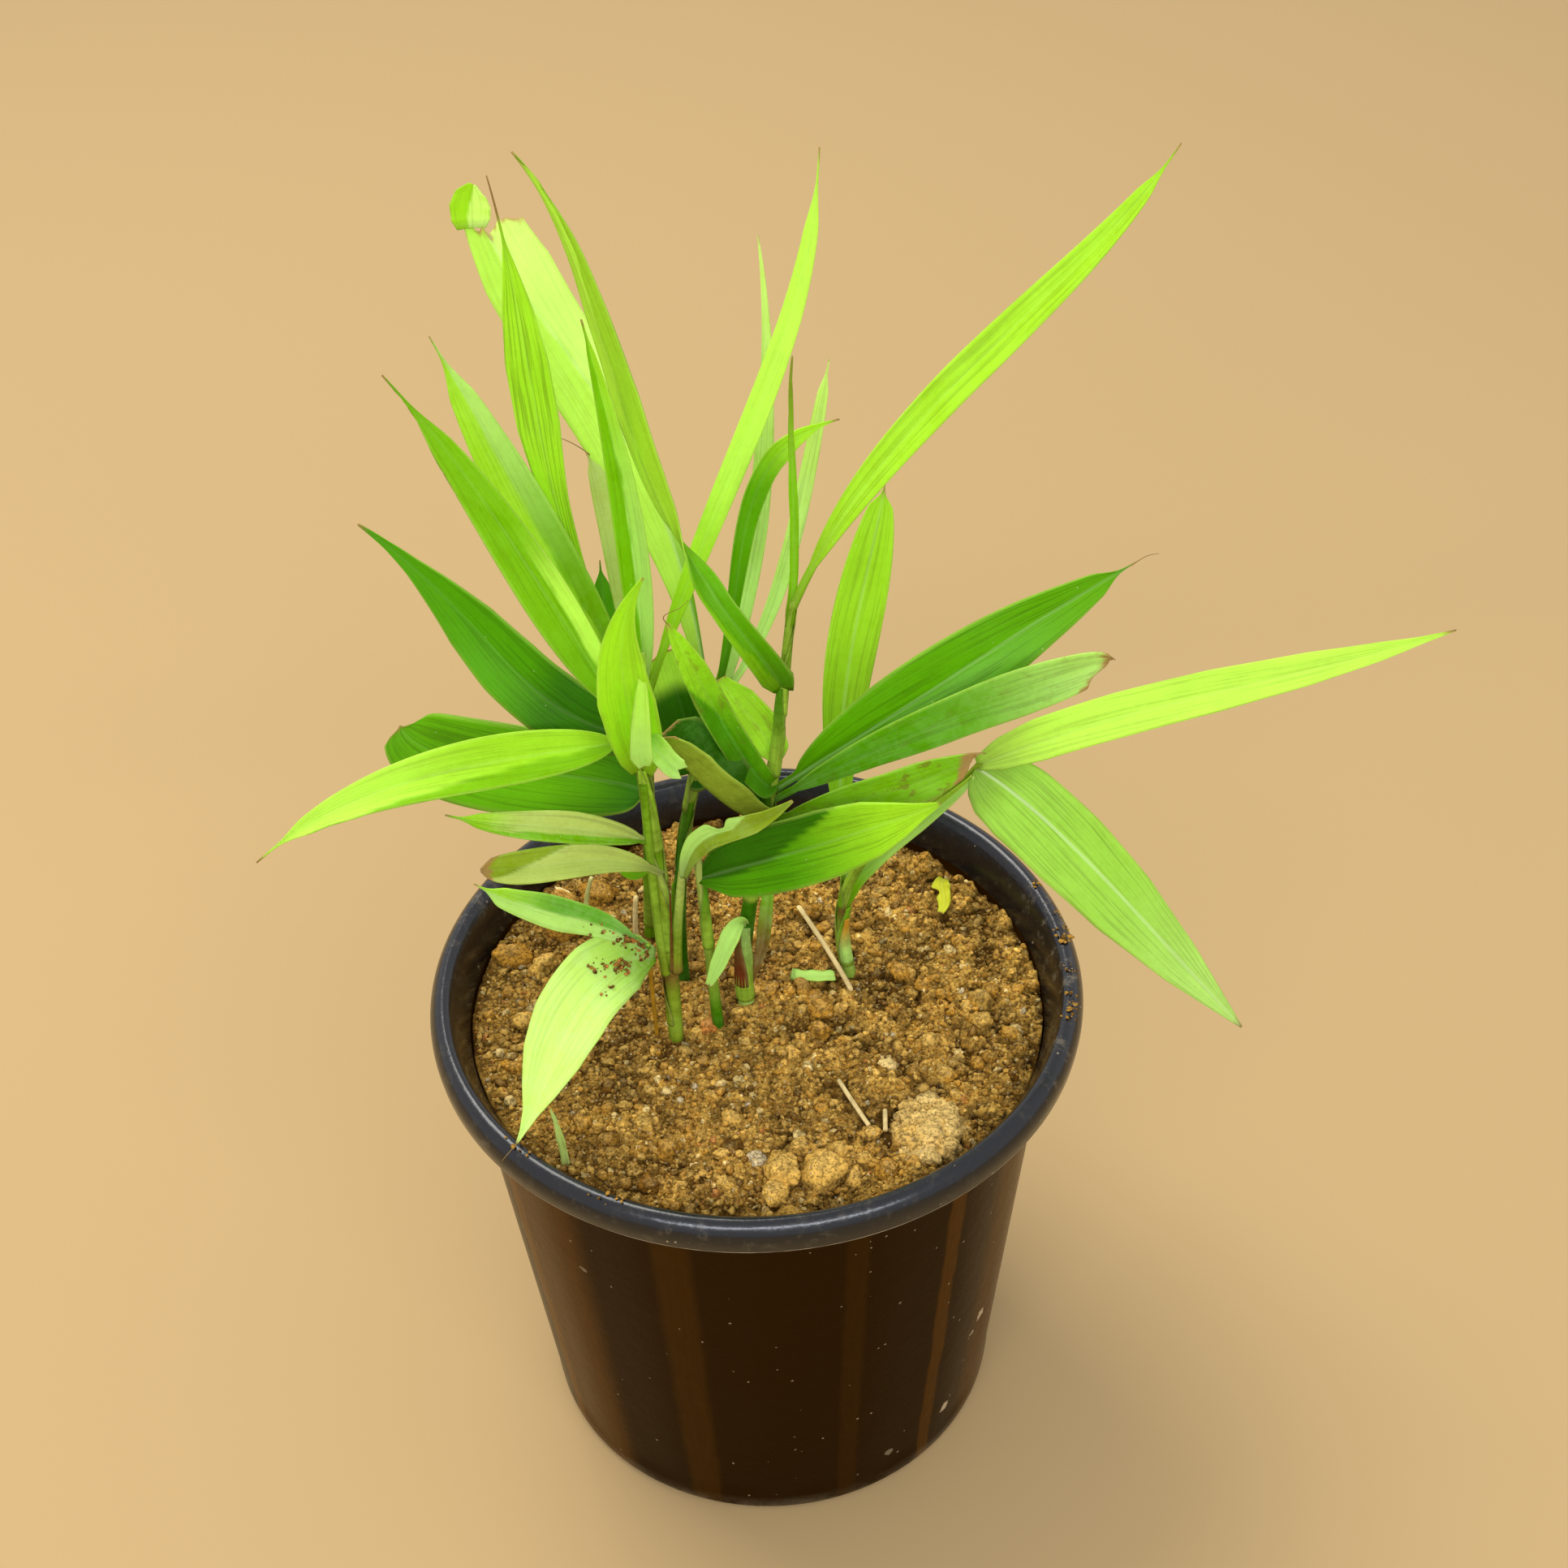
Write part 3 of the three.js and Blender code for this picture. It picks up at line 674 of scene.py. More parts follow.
    def normals(self, t: Array, v: Array) -> Array:
        """Normals of the middle surface: the cross product of its steps across and along."""
        step = 2e-3
        along = self.middle(t + step, v) - self.middle(t - step, v)
        across = self.middle(t, v + step) - self.middle(t, v - step)
        return unit(np.cross(across, along))

    def colours(self, t: Array, v: Array, whole: Array, side: int) -> tuple[Array, Array]:
        """The skin of one face and the light that comes through it.

        Args:
            t: places along.
            v: places across.
            whole: places along the leaf as it is, torn or not, 0 to 1.
            side: 1 for the upper face, -1 for the underside.

        Returns:
            Two (n, 4) colour arrays: the leaf's tone fading to its tip's tone, the other tone
            below its line, paler along its edges, darker with painted shade where it leaves the
            stem, and dried at its tip.
        """
        leaf = self.leaf
        first, last = leaf.tone.value, (leaf.tip_tone or leaf.tone).value
        share = smooth(t, *leaf.fade)
        skin = blend_colours(first.face(side), last.face(side), share)
        glow = blend_colours(first.glow, last.glow, share)
        if leaf.beyond:
            below = self.below_line(t, v)
            skin = blend_colours(skin, leaf.beyond.value.face(side), below)
            glow = blend_colours(glow, leaf.beyond.value.glow, below)
        edge = smooth(np.abs(v), 0.88, 1.0) * smooth(self.half_width(t, v), 1.0, 3.0)
        skin = blend_colours(skin, self.EDGE_TINT, 0.4 * edge)
        # Painted shade: the blade and the light through it are darker where it leaves the stem.
        shade = 1 - 0.3 * (1 - smooth(t, 0.0, 0.2))
        ragged = 0.014 * self.uneven.at(np.stack([9 * v, 0 * v, 0 * v + self.seed], -1), 1.0)
        dry = smooth(whole + ragged, leaf.dry_from, min(leaf.dry_from + 0.02, 1.0))
        skin = blend_colours(skin * shade[:, None], DRY_TIP, dry)
        glow = blend_colours(glow * shade[:, None], DRY_TIP, dry)
        return opaque(skin), opaque(glow)

    def surface(self) -> Surface:
        """The closed blade: both faces half a thickness from the middle, with a groove over
        the midrib and a ridge under it."""
        leaf = self.leaf
        rows, columns = self.rows, self.columns
        whole, v = np.meshgrid(np.linspace(0, 1, rows), np.linspace(-1, 1, columns), indexing="ij")
        whole, v = whole.ravel(), v.ravel()
        t = whole
        if leaf.torn:
            ragged = self.uneven.fractal(np.stack([3 * v, 0 * v, 0 * v + self.seed], -1), 1.1)
            t = whole * (1 - np.interp(v, *zip(*leaf.torn)) - 0.012 * ragged)
        half = self.half_width(t, v)
        middle, normal = self.middle(t, v), self.normals(t, v)
        thick = self.THICK + (self.STALK - self.THICK) * (1 - smooth(t, 0, 0.12))
        rib = np.exp(-((v * half / self.RIB_HALF_WIDTH) ** 2)) * (1 - 0.8 * t)
        over = middle + normal * (thick / 2 - 0.16 * rib)[:, None]
        under = middle - normal * (thick / 2 + 0.5 * rib)[:, None]
        flat = np.stack([t * self.length, v * half, np.full_like(t, 31.7 * self.seed)], -1)
        lines = max(2.0, leaf.width / 2 / self.LINE_PITCH)
        values = []
        for side in (1, -1):
            skin, glow = self.colours(t, v, whole, side)
            form = np.stack([leaf.rib * (1 - 0.6 * t), v, np.full_like(t, leaf.gloss)], -1)
            bloom = leaf.bloom * (1.0 if side > 0 else 0.5)
            traits = np.tile([lines, bloom, leaf.dirt], (len(t), 1))
            marks = np.tile([leaf.veins, leaf.blotch, 0], (len(t), 1))
            face = {"skin": skin, "glow": glow, "form": form, "flat": flat, "traits": traits, "marks": marks}
            values.append({k: a.reshape(rows, columns, -1) for k, a in face.items()})
        return sheet_surface(over.reshape(rows, columns, 3), under.reshape(rows, columns, 3), values)

    def thread(self) -> Surface:
        """The dried thread at the tip: circles about a line through the tail's places, thinning
        from 0.2 to 0.07 mm."""
        tip = self.midrib.points(np.array([0.98, 1.0]))
        path = Through([tuple(tip[0]), tuple(tip[1])] + [tuple(tip[1] + place) for place in self.leaf.tail])
        t = np.linspace(0.12, 1, 22)
        along = path.tangents(t)
        out = unit(np.cross(along, np.array([0.3, 1.0, 0.2])))
        side = np.cross(along, out)
        radius = (0.2 - 0.13 * t)[:, None, None]
        rings = round_rings(path.points(t), radius, out[:, None], side[:, None], 6)
        skin = np.broadcast_to(DRY_TIP, rings.shape)
        return tube_surface(rings, plain_values(skin, rings, self.seed))


def plain_values(skin: Array, points: Array, seed: int, number: float = 6.0,
                 veins: float = 0.6, gloss: float = 0.0) -> Values:
    """The layers of a tube or a sheet without a midrib.

    Args:
        skin: its colours, (..., 3).
        points: its points, (rows, columns, 3), which give the way along and across.
        seed: what tells its pattern from others'.
        number: how many lines run along it.
        veins: how strongly they show.
        gloss: how much smoother it is than a plain leaf.
    """
    rows, columns = points.shape[:2]
    ones = np.ones((rows, columns))
    across = np.abs(1 - 2 * np.arange(columns) / columns)[None, :] * ones
    middle = points.mean(1)
    steps = np.linalg.norm(np.diff(middle, axis=0, prepend=middle[:1]), axis=1)
    length = np.cumsum(steps)[:, None] * ones
    skin = np.clip(skin, 0, 1)
    return {
        "skin": opaque(skin),
        "glow": opaque(skin * 0.35),
        "form": np.stack([0 * ones, across, gloss * ones], -1),
        "flat": np.stack([length, 3 * across, 31.7 * seed * ones], -1),
        "traits": np.stack([number * ones, 0.05 * ones, 0 * ones], -1),
        "marks": np.stack([veins * ones, 0.8 * ones, 0 * ones], -1),
    }


@dataclass(frozen=True)
class Husk:
    """A sheath that wraps part of a stem: from and to which height, towards which side, how
    far round at its foot and its top in degrees, how far its top leans away, and its tones."""

    low: float
    high: float
    side: float
    reach_low: float
    reach_high: float
    lean: float
    tone: Tone
    top_tone: Tone | None = None


@dataclass(frozen=True)
class Stem:
    """A stem, standing in the soil, with its leaves and loose sheaths.

    `bands` are the tones that its skin passes through as it rises, as (height, tone).
    `beside` are further bare stalks of the same clump, and `clasped` tells whether a sheath
    clasps the stem under each leaf.
    """

    places: tuple[Place, ...]
    foot: float
    top: float
    bands: tuple[tuple[float, Tone], ...]
    leaves: tuple[Leaf, ...] = ()
    husks: tuple[Husk, ...] = ()
    beside: tuple["Stem", ...] = ()
    clasped: bool = True


def tone_ramp(bands: tuple[tuple[float, Tone], ...], heights: Array) -> Array:
    """The skin's colour at each height, straight between the bands' tones."""
    marks = [height for height, _ in bands]
    colours = np.array([tone.value.upper for _, tone in bands])
    return np.stack([np.interp(heights, marks, colours[:, c]) for c in range(3)], -1)


@dataclass
class LeafyStem:
    """One leafy stem: its stalk, its sheaths and its leaves in one piece."""

    name: str
    stem: Stem
    seed: int
    slot: str = "leaf_green"
    sides: int = 20
    rows: int = 64
    sunk: float = 7.0
    slimmed: float = 0.74

    SHEATH = 30.0
    SHEATH_THICK = 0.16
    SHEATH_EDGE = (0.34, 0.3, 0.1)

    def __post_init__(self) -> None:
        """Finds the stem's axis."""
        self.axis = Through(self.stem.places)
        self.uneven = Lattice(500 + self.seed)

    def radius(self, t: Array) -> Array:
        """The stalk's radius, straight from foot to top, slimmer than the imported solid's, which
        stands for a bundle of sheaths."""
        return self.slimmed * (self.stem.foot + (self.stem.top - self.stem.foot) * np.clip(t, 0, 1))

    def stalk(self) -> Surface:
        """The rolled stalk: circles about the axis whose radius grows by a twelfth once round,
        so that the outer sheath's edge shows as a line that winds slowly up the stem."""
        t = np.linspace(0, 1, self.rows)
        centre = self.axis.points(t)
        root = centre[0] - np.array([0, 0, self.sunk])
        centre = np.concatenate([[root], centre])
        t = np.concatenate([[0], t])
        angle = even_angles(self.sides)
        wound = ((angle[None, :] - 1.9 - 1.2 * t[:, None] - self.seed) / (2 * np.pi)) % 1.0
        radius = self.radius(t)[:, None] * (0.96 + 0.08 * wound)
        way = np.stack([np.cos(angle), np.sin(angle), 0 * angle], -1)
        rings = centre[:, None, :] + radius[..., None] * way
        radius = radius * (1 + 0.015 * self.uneven.at(rings, 6.0))
        rings = centre[:, None, :] + radius[..., None] * way
        skin = tone_ramp(self.stem.bands, rings[..., 2])
        skin = skin * (1 + 0.2 * self.uneven.at(rings * (1, 1, 0.2), 2.0))[..., None]
        return tube_surface(rings, plain_values(skin, rings, self.seed, number=5.0, veins=0.5, gloss=0.4))

    def sheath(self, husk: Husk) -> Surface:
        """A thin sheath: part circles about the stem, narrowing from its foot to its top, with
        the top leaning away from the stem by `lean` times its share of the height squared."""
        rows, columns = 22, 15
        s = np.linspace(0, 1, rows)
        height = husk.low + (husk.high - husk.low) * s
        t = np.array([self.axis.at_height(h) for h in height])
        centre = self.axis.points(t)
        reach = np.radians(husk.reach_low + (husk.reach_high - husk.reach_low) * smooth(s, 0.1, 1.0))
        v = np.linspace(-1, 1, columns)
        angle = math.radians(husk.side) + reach[:, None] * v[None, :]
        way = np.stack([np.cos(angle), np.sin(angle), np.zeros_like(angle)], -1)
        out = np.array([math.cos(math.radians(husk.side)), math.sin(math.radians(husk.side)), 0.0])
        radius = (self.radius(t) * 1.06 + 0.08)[:, None] + 0.3 * (np.abs(v) ** 4)[None, :] * s[:, None]
        lean = husk.lean * s**2
        under = centre[:, None, :] + radius[..., None] * way + lean[:, None, None] * out
        over = under + self.SHEATH_THICK * way
        share = smooth(s, 0.2, 0.9)[:, None] * np.ones(columns)
        skin = blend_colours(husk.tone.value.upper, (husk.top_tone or husk.tone).value.upper, share)
        edge = smooth(np.abs(v), 0.75, 1.0)[None, :] * np.ones((rows, 1))
        skin = blend_colours(skin, self.SHEATH_EDGE, 0.55 * edge)
        skin = skin * (1 + 0.22 * self.uneven.at(over * (1, 1, 0.2), 2.0))[..., None]
        values = plain_values(skin, over, self.seed, number=4.0, gloss=0.3)
        values["glow"] = opaque(np.clip(skin * 1.2, 0, 1))
        return sheet_surface(over, under, [values, values])

    def leaf_sheaths(self) -> list[Surface]:
        """A clasping sheath under each leaf, on the side that the leaf leaves towards."""
        made = []
        lowest = self.stem.places[0][2] + 3
        for leaf in self.stem.leaves if self.stem.clasped else ():
            if leaf.start is None or leaf.start < lowest + 12:
                continue
            blade = Blade(leaf, self.axis, self.seed)
            way = blade.midrib.points(np.array([0.12]))[0] - blade.midrib.points(np.array([0.0]))[0]
            side = math.degrees(math.atan2(way[1], way[0]))
            low = max(leaf.start - self.SHEATH, lowest)
            husk = Husk(low, leaf.start + 1.0, side, reach_low=150, reach_high=34, lean=0.1,
                        tone=Tone.STALK, top_tone=leaf.tone)
            made.append(self.sheath(husk))
        return made

    def blades(self) -> list[Blade]:
        """The leaves' surfaces, each with its own seed."""
        return [Blade(leaf, self.axis, 11 * self.seed + i) for i, leaf in enumerate(self.stem.leaves)]

    def build(self, material: Material) -> Object:
        """Makes the piece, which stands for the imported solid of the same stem."""
        parts = [self.stalk(), *self.leaf_sheaths(), *[self.sheath(h) for h in self.stem.husks]]
        for i, stem in enumerate(self.stem.beside):
            beside = LeafyStem(f"{self.name}_{i}", stem, self.seed + 40 + i, slimmed=1.0, sunk=1.0)
            parts.append(beside.stalk())
        parts += [blade.surface() for blade in self.blades()]
        parts += [blade.thread() for blade in self.blades() if blade.leaf.tail]
        piece = Surface.joined(parts).build(f"leafy_{self.name}", material)
        return dressed(piece, self.slot, self.name)


def dressed(piece: Object, slot: str, *nodes: str) -> Object:
    """Fixes a piece to the model: its body and the solids that it stands for, which are hidden."""
    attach(piece, BODY)
    if nodes:
        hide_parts(*nodes)
    LOG.info("%s: %d faces", piece.name, len(piece.data.polygons))
    return piece


# The leaves of each stem, and the stem itself
LEAVES_LEFT = (
    # Painted shade: the DARK base of this leaf stands for the shade near the crown.
    Leaf(278, ((-57.2, 8, 282), (-78.4, 20, 302.4), (-105.1, 32, 325.5)), 20, Tone.DARK, Tone.DEEP,
         outline=((0, 0.1), (0.05, 0.6), (0.13, 0.9), (0.28, 1), (0.46, 0.98), (0.62, 0.8),
                  (0.75, 0.5), (0.84, 0.27), (0.92, 0.12), (1, 0.03)),
         fade=(0.25, 0.45), turn=-10, twist=-10, ripple=0.6, bloom=0.0, veins=0.6),
    Leaf(254, ((-44, 9, 248), (-80, 25, 242), (-103, 37, 247.5)), 27, Tone.DARK, Tone.FRESH,
         turn=-5, taper=0.42, ripple=0.8, fade=(0.15, 0.5), veins=0.8, point=0.02, bloom=0.0),
    Leaf(277, ((-64, -20, 282), (-100, -32, 282), (-133, -44, 269)), 15.5, Tone.LIME, Tone.BRIGHT,
         line=((0, 0), (0.3, -0.3), (0.8, -1), (1, -1.1)), beyond=Tone.MID, step=0.5,
         fold=20, taper=1.15, ripple=0.7, veins=0.5, gloss=0.6),
    Leaf(238, ((-46, -20, 255), (-64, -26, 263), (-82, -32, 273)), 10, Tone.GREY, Tone.LIME,
         line=((0, -0.2), (0.5, -0.4), (1, -0.9)), beyond=Tone.MID,
         turn=6, fold=26, ripple=1.0, bloom=0.2, fade=(0.6, 0.9), gloss=1.2, veins=0.7),
    Leaf(227, ((-42, -22, 245), (-58, -30, 251), (-74, -36, 256)), 11, Tone.OLIVE,
         line=((0, 1.2), (0.5, 1.1), (0.68, 0.35), (0.96, -0.8), (1, -0.9)), beyond=Tone.GREY, step=1.0,
         turn=4, fold=26, taper=0.35, ripple=0.9, bloom=0.1, dry_from=0.95, gloss=1.0, dirt=0.1,
         torn=((-1, 0), (-0.3, 0.02), (0.2, 0), (1, 0.04))),
    Leaf(281, ((-48.3, 4, 311), (-67.4, 16, 343), (-91.4, 26, 378)), 14.5, Tone.BRIGHT, Tone.MID,
         turn=10, fold=22, taper=1, ripple=0.4, fade=(0.35, 0.6), point=0.1, bias=(-0.12, -0.12),
         line=((0, 0.2), (0.3, 0.3), (0.6, 0.25), (0.72, -1)), beyond=Tone.MID, step=-0.8, gloss=0.6),
    Leaf(266, ((-30, -22, 298), (-30.6, -28, 326), (-23.4, -30, 350.2)), 17, Tone.LIME,
         outline=((0, 0.4), (0.1, 0.72), (0.25, 0.95), (0.45, 1), (0.65, 0.75), (0.8, 0.42),
                  (0.92, 0.16), (1, 0.03)),
         bloom=0.0, fold=24, ripple=1.2, dry_from=1.0),
    Leaf(None, ((-29, -12, 276), (-25.7, -20, 287), (-21.8, -23, 283.6), (-15.8, -25, 278.9)), 8,
         Tone.LIME, Tone.MILKY, outline=((0, 0.4), (0.3, 0.9), (0.6, 1), (0.88, 0.9), (1, 0.5)),
         fold=36, ripple=1.4, bloom=0.3, dry_from=1.0, torn=((-1, 0), (0, 0.1), (1, 0.02)), gloss=1.0),
    Leaf(None, ((-25.8, -25.5, 322), (-26, -28.8, 312), (-27.2, -29.6, 297), (-27.2, -26, 283)), 6.4,
         Tone.BRIGHT, Tone.MILKY,
         outline=((0, 0.02), (0.15, 0.15), (0.35, 0.55), (0.6, 0.9), (0.85, 1), (1, 0.5)),
         fold=20, ripple=1.0, dry_from=1.0),
)
STEM_LEFT = Stem(
    ((-25, -10, 160), (-25, -10, 193), (-26, -9, 224), (-28, -8, 253), (-30, -8, 284)),
    3.1, 2.1,
    ((158, Tone.OLIVE), (166, Tone.STALK), (180, Tone.OLIVE), (187, Tone.BROWN), (193, Tone.OLIVE),
     (200, Tone.STALK), (240, Tone.MID), (284, Tone.MID)),
    LEAVES_LEFT,
    (
        Husk(193, 224, -15, 70, 40, 1.6, Tone.STALK, Tone.MID),
        Husk(166, 186, 160, 100, 30, 0.4, Tone.OLIVE, Tone.BROWN),
    ),
    beside=(
        Stem(((-23.2, -11.5, 190), (-22, -12, 208), (-18.8, -13.8, 237)), 1.9, 1.1,
             ((188, Tone.BROWN), (196, Tone.OLIVE), (206, Tone.STALK), (229, Tone.GREY))),
        Stem(((-26.6, -11.5, 189), (-28, -11, 215), (-29, -10, 262)), 1.5, 1.2,
             ((188, Tone.OLIVE), (200, Tone.STALK), (262, Tone.MID))),
        Stem(((-24.6, -12.8, 191), (-24, -13.2, 205), (-23.5, -13, 222)), 0.5, 0.25,
             ((188, Tone.BROWN), (222, Tone.RUST))),
    ),
)
LEAVES_LEFT_BACK = (
    Leaf(257, ((-48.5, 36, 296), (-67.1, 50, 335), (-82.6, 60, 368)), 16, Tone.MID, Tone.MILKY,
         line=((0, 0.1), (1, 0.05)), beyond=Tone.LIME,
         turn=-10, fold=12, taper=1, ripple=0.4, fade=(0.3, 0.8), bloom=0.1, veins=0.35, point=0.1),
    Leaf(262, ((-49.3, 44, 313), (-57, 62, 362), (-63.8, 76, 408)), 12.2, Tone.LIME,
         outline=((0, 0.15), (0.15, 0.3), (0.38, 0.6), (0.52, 1), (0.64, 1), (0.74, 0.7),
                  (0.82, 0.3), (0.87, 0.06), (1, 0.02)),
         fold=6, ripple=0.3, bloom=0.0, veins=1.0, dry_from=0.9),
    Leaf(263, ((-28.5, 24, 309), (-32, 27, 352), (-38, 29, 391)), 10, Tone.MILKY, Tone.LIME,
         line=((0, 0), (0.4, -0.1), (0.6, 0.1), (0.85, -0.1), (1, -1)), beyond=Tone.MID,
         taper=1.1, ripple=0.3, fold=30, point=0.05),
    Leaf(261, ((-33, 44, 288), (-37, 56, 309), (-42.6, 64, 325)), 9, Tone.GREY,
         twist=20, fold=12, taper=0.7, ripple=0.4, bloom=0.4, dry_from=0.97, point=0.06,
         tail=((-4.4, 0, 3.5), (-8.3, 0, 5.1))),
    Leaf(253, ((-38, 44, 270), (-41, 60, 289)), 9, Tone.DEEP, ripple=0.3),
    Leaf(265, ((-3, 30, 333), (16.4, 42, 379), (26, 54, 425)), 7, Tone.LIME, Tone.BRIGHT,
         ripple=0.2, swell=0.5, taper=0.7, bloom=0.0, fade=(0.15, 0.4), veins=0.2),
    Leaf(196, ((-36, 22, 200), (-40, 19, 206)), 7, Tone.MID, taper=0.7),
)
STEM_LEFT_BACK = Stem(
    ((-33, 34, 160), (-31, 28, 198), (-30, 23, 234), (-29, 20, 268)), 3, 2.2,
    ((158, Tone.MID), (200, Tone.DEEP), (235, Tone.DEEP), (268, Tone.MID)),
    LEAVES_LEFT_BACK,
)
LEAVES_FRONT = (
    # Painted shade: the DARK tone below the line darkens one side of the leaf's base, where shade falls.
    Leaf(227, ((9, -26, 247.5), (31, -34, 263), (53, -38, 276)), 20.5, Tone.DEEP, Tone.LIME,
         outline=((0, 0.15), (0.04, 0.4), (0.1, 0.75), (0.2, 0.95), (0.35, 1), (0.55, 0.98),
                  (0.72, 0.8), (0.84, 0.5), (0.92, 0.25), (1, 0.04)),
         line=((0, 0.3), (0.3, 0.1), (0.5, -0.5), (0.7, -1.2)), beyond=Tone.DARK,
         turn=10, ripple=1.1, bloom=0.0, dry_from=1.0, veins=0.8, gloss=0.9, rib=0.1),
    Leaf(None, ((-19, -14, 230), (-14, -18, 246), (-7, -22, 254), (1, -26, 260), (13, -34, 275.4)), 8,
         Tone.OLIVE, line=((0, 0.1), (0.6, 0), (0.8, -1.2)), beyond=Tone.MILKY,
         outline=((0, 0.3), (0.1, 0.6), (0.25, 1), (0.5, 1), (0.8, 0.75), (0.93, 0.4), (1, 0.1)),
         fold=24, ripple=0.9, bloom=0.2, dry_from=1.0, gloss=0.8,
         bites=((-1, 0.5, 0.75, 0.07),)),
)
STEM_FRONT = Stem(
    ((-12, -7, 160), (-13, -9, 188), (-14, -11, 214), (-15, -13, 240)), 2.4, 1.7,
    ((158, Tone.DARK), (168, Tone.DEEP), (182, Tone.STALK), (240, Tone.GREY)),
    LEAVES_FRONT,
)
LEAVES_MIDDLE = (
    Leaf(282, ((-4.8, 0, 317.7), (-22.6, 24, 343.8), (-36, 52, 377.9), (-56, 74, 416)), 12.2,
         Tone.FRESH, Tone.LIME,
         outline=((0, 0.5), (0.04, 0.8), (0.12, 0.75), (0.28, 0.62), (0.38, 0.5), (0.5, 0.85),
                  (0.62, 1), (0.75, 0.85), (0.86, 0.5), (0.93, 0.2), (1, 0.04)),
         line=((0, 0), (0.36, -1.1), (0.4, 0.1), (0.8, -0.1), (0.95, -1)), beyond=Tone.MID, step=-0.4,
         fade=(0.3, 0.5), turn=-20, twist=150, twist_at=0.34, twist_span=0.22, fold=14, ripple=0.4),
    Leaf(249, ((1, -3, 262), (-7, -8, 285.5), (-12.5, -11, 303.5), (-19, -12, 321)), 9.5,
         Tone.FRESH, Tone.LIME,
         outline=((0, 0.3), (0.1, 0.85), (0.3, 1), (0.6, 1), (0.8, 0.85), (0.93, 0.5), (1, 0.12)),
         line=((0, 0.3), (0.5, 0.1), (0.75, -1.2)), beyond=Tone.DEEP,
         fold=24, ripple=1.8, dirt=0.3, blotch=0.4, dry_from=0.985,
         tail=((-0.8, 0.2, 2.2), (1.8, 0.2, 4), (6, 0.4, 7.4))),
    Leaf(257, ((5, 9, 264), (-1, 14, 270), (-6.5, 19, 276)), 11, Tone.LIME,
         outline=((0, 0.3), (0.1, 0.8), (0.35, 1), (0.7, 0.9), (1, 0.3)),
         fold=6, ripple=0.8, dirt=0.25, blotch=0.3, bias=(0.1, 0.1)),
    # Painted shade: the DARK half stands for the shade inside the fold, in the crown; the half below the line
    # is OLIVE.
    Leaf(235, ((-4, -10, 252), (-14, -14, 268), (-23, -14, 283)), 27, Tone.DARK,
         outline=((0, 0.3), (0.15, 0.7), (0.5, 1), (0.8, 1), (0.93, 0.8), (1, 0.5)),
         beyond=Tone.OLIVE,
         turn=70, fold=60, bloom=0.1, blotch=0.6, bias=(0.1, 0.1), dry_from=0.985),
    Leaf(246, ((44, 6, 272), (76, 16, 289), (112, 26, 307)), 22.5, Tone.SEA, Tone.FRESH,
         line=((0, 0.1), (1, 0)), beyond=Tone.FRESH, fade=(0.5, 0.9),
         turn=10, fold=10, ripple=0.7, bloom=0.0, dry_from=0.98, point=0.05, rib=0.25, veins=0.8,
         tail=((2.6, 0.6, 1.4), (6.4, 1.4, 1.6))),
    Leaf(242, ((42, -3, 268), (74, -4, 284), (103, -4, 296)), 14.5, Tone.FRESH, Tone.MILKY,
         turn=25, fold=12, taper=0.35, ripple=0.6, bloom=0.15, dry_from=0.97, fade=(0.45, 1),
         torn=((-1, 0), (0.2, 0.02), (0.6, 0.08), (1, 0.1)), bias=(-0.12, -0.12), dirt=0.15, veins=0.6),
    Leaf(235, ((32, -10, 253.4), (48.9, -12, 261.3), (67.2, -12, 270.7)), 13, Tone.FRESH, Tone.OLIVE,
         turn=20, fold=14, taper=0.6, ripple=1, bloom=0.1, dirt=0.5, dry_from=0.93, fade=(0.3, 0.8),
         line=((0, 0.4), (0.5, 0.5), (0.8, 1.2)), beyond=Tone.MID,
         torn=((-1, 0), (0, 0.05), (1, 0.12))),
    Leaf(303, ((16, 10, 332), (16, 16, 357), (17, 22, 382)), 1, Tone.MID, Tone.BROWN,
         fold=0, taper=0.6, fade=(0.5, 1.4), dry_from=1.0),
    Leaf(308, ((46, 14, 360), (85, 28, 395), (119, 44, 428)), 10.2, Tone.LIME,
         turn=-5, ripple=0.3, bloom=0.05, swell=0.7, veins=0.6, point=0.06),
    Leaf(194, ((-5, -9, 204), (-8.8, -15, 199.9), (-13.8, -18, 188.9)), 6.2, Tone.MILKY,
         outline=((0, 0.3), (0.2, 0.55), (0.5, 1), (0.8, 0.8), (1, 0.35)), fold=24, ripple=0.4,
         dry_from=0.98),
    Leaf(166, ((2, 3, 182), (4, 5, 196), (6, 7, 211)), 4.2, Tone.BROWN, Tone.MID,
         fold=14, taper=0.5, bloom=0.3, dry_from=1.0),
)
STEM_MIDDLE = Stem(
    ((-3, 1, 160), (-1, 2, 201), (6, 3, 241), (11, 6, 277), (15, 8, 312)), 3.5, 1.5,
    ((158, Tone.STALK), (166.5, Tone.MILKY), (168.5, Tone.AMBER), (171, Tone.RUST), (184, Tone.RUST),
     (190, Tone.DARK), (212, Tone.DEEP), (245, Tone.STALK), (312, Tone.STALK)),
    LEAVES_MIDDLE,
    (Husk(170, 192, 200, 100, 50, 0.6, Tone.RUST, Tone.BROWN),),
)
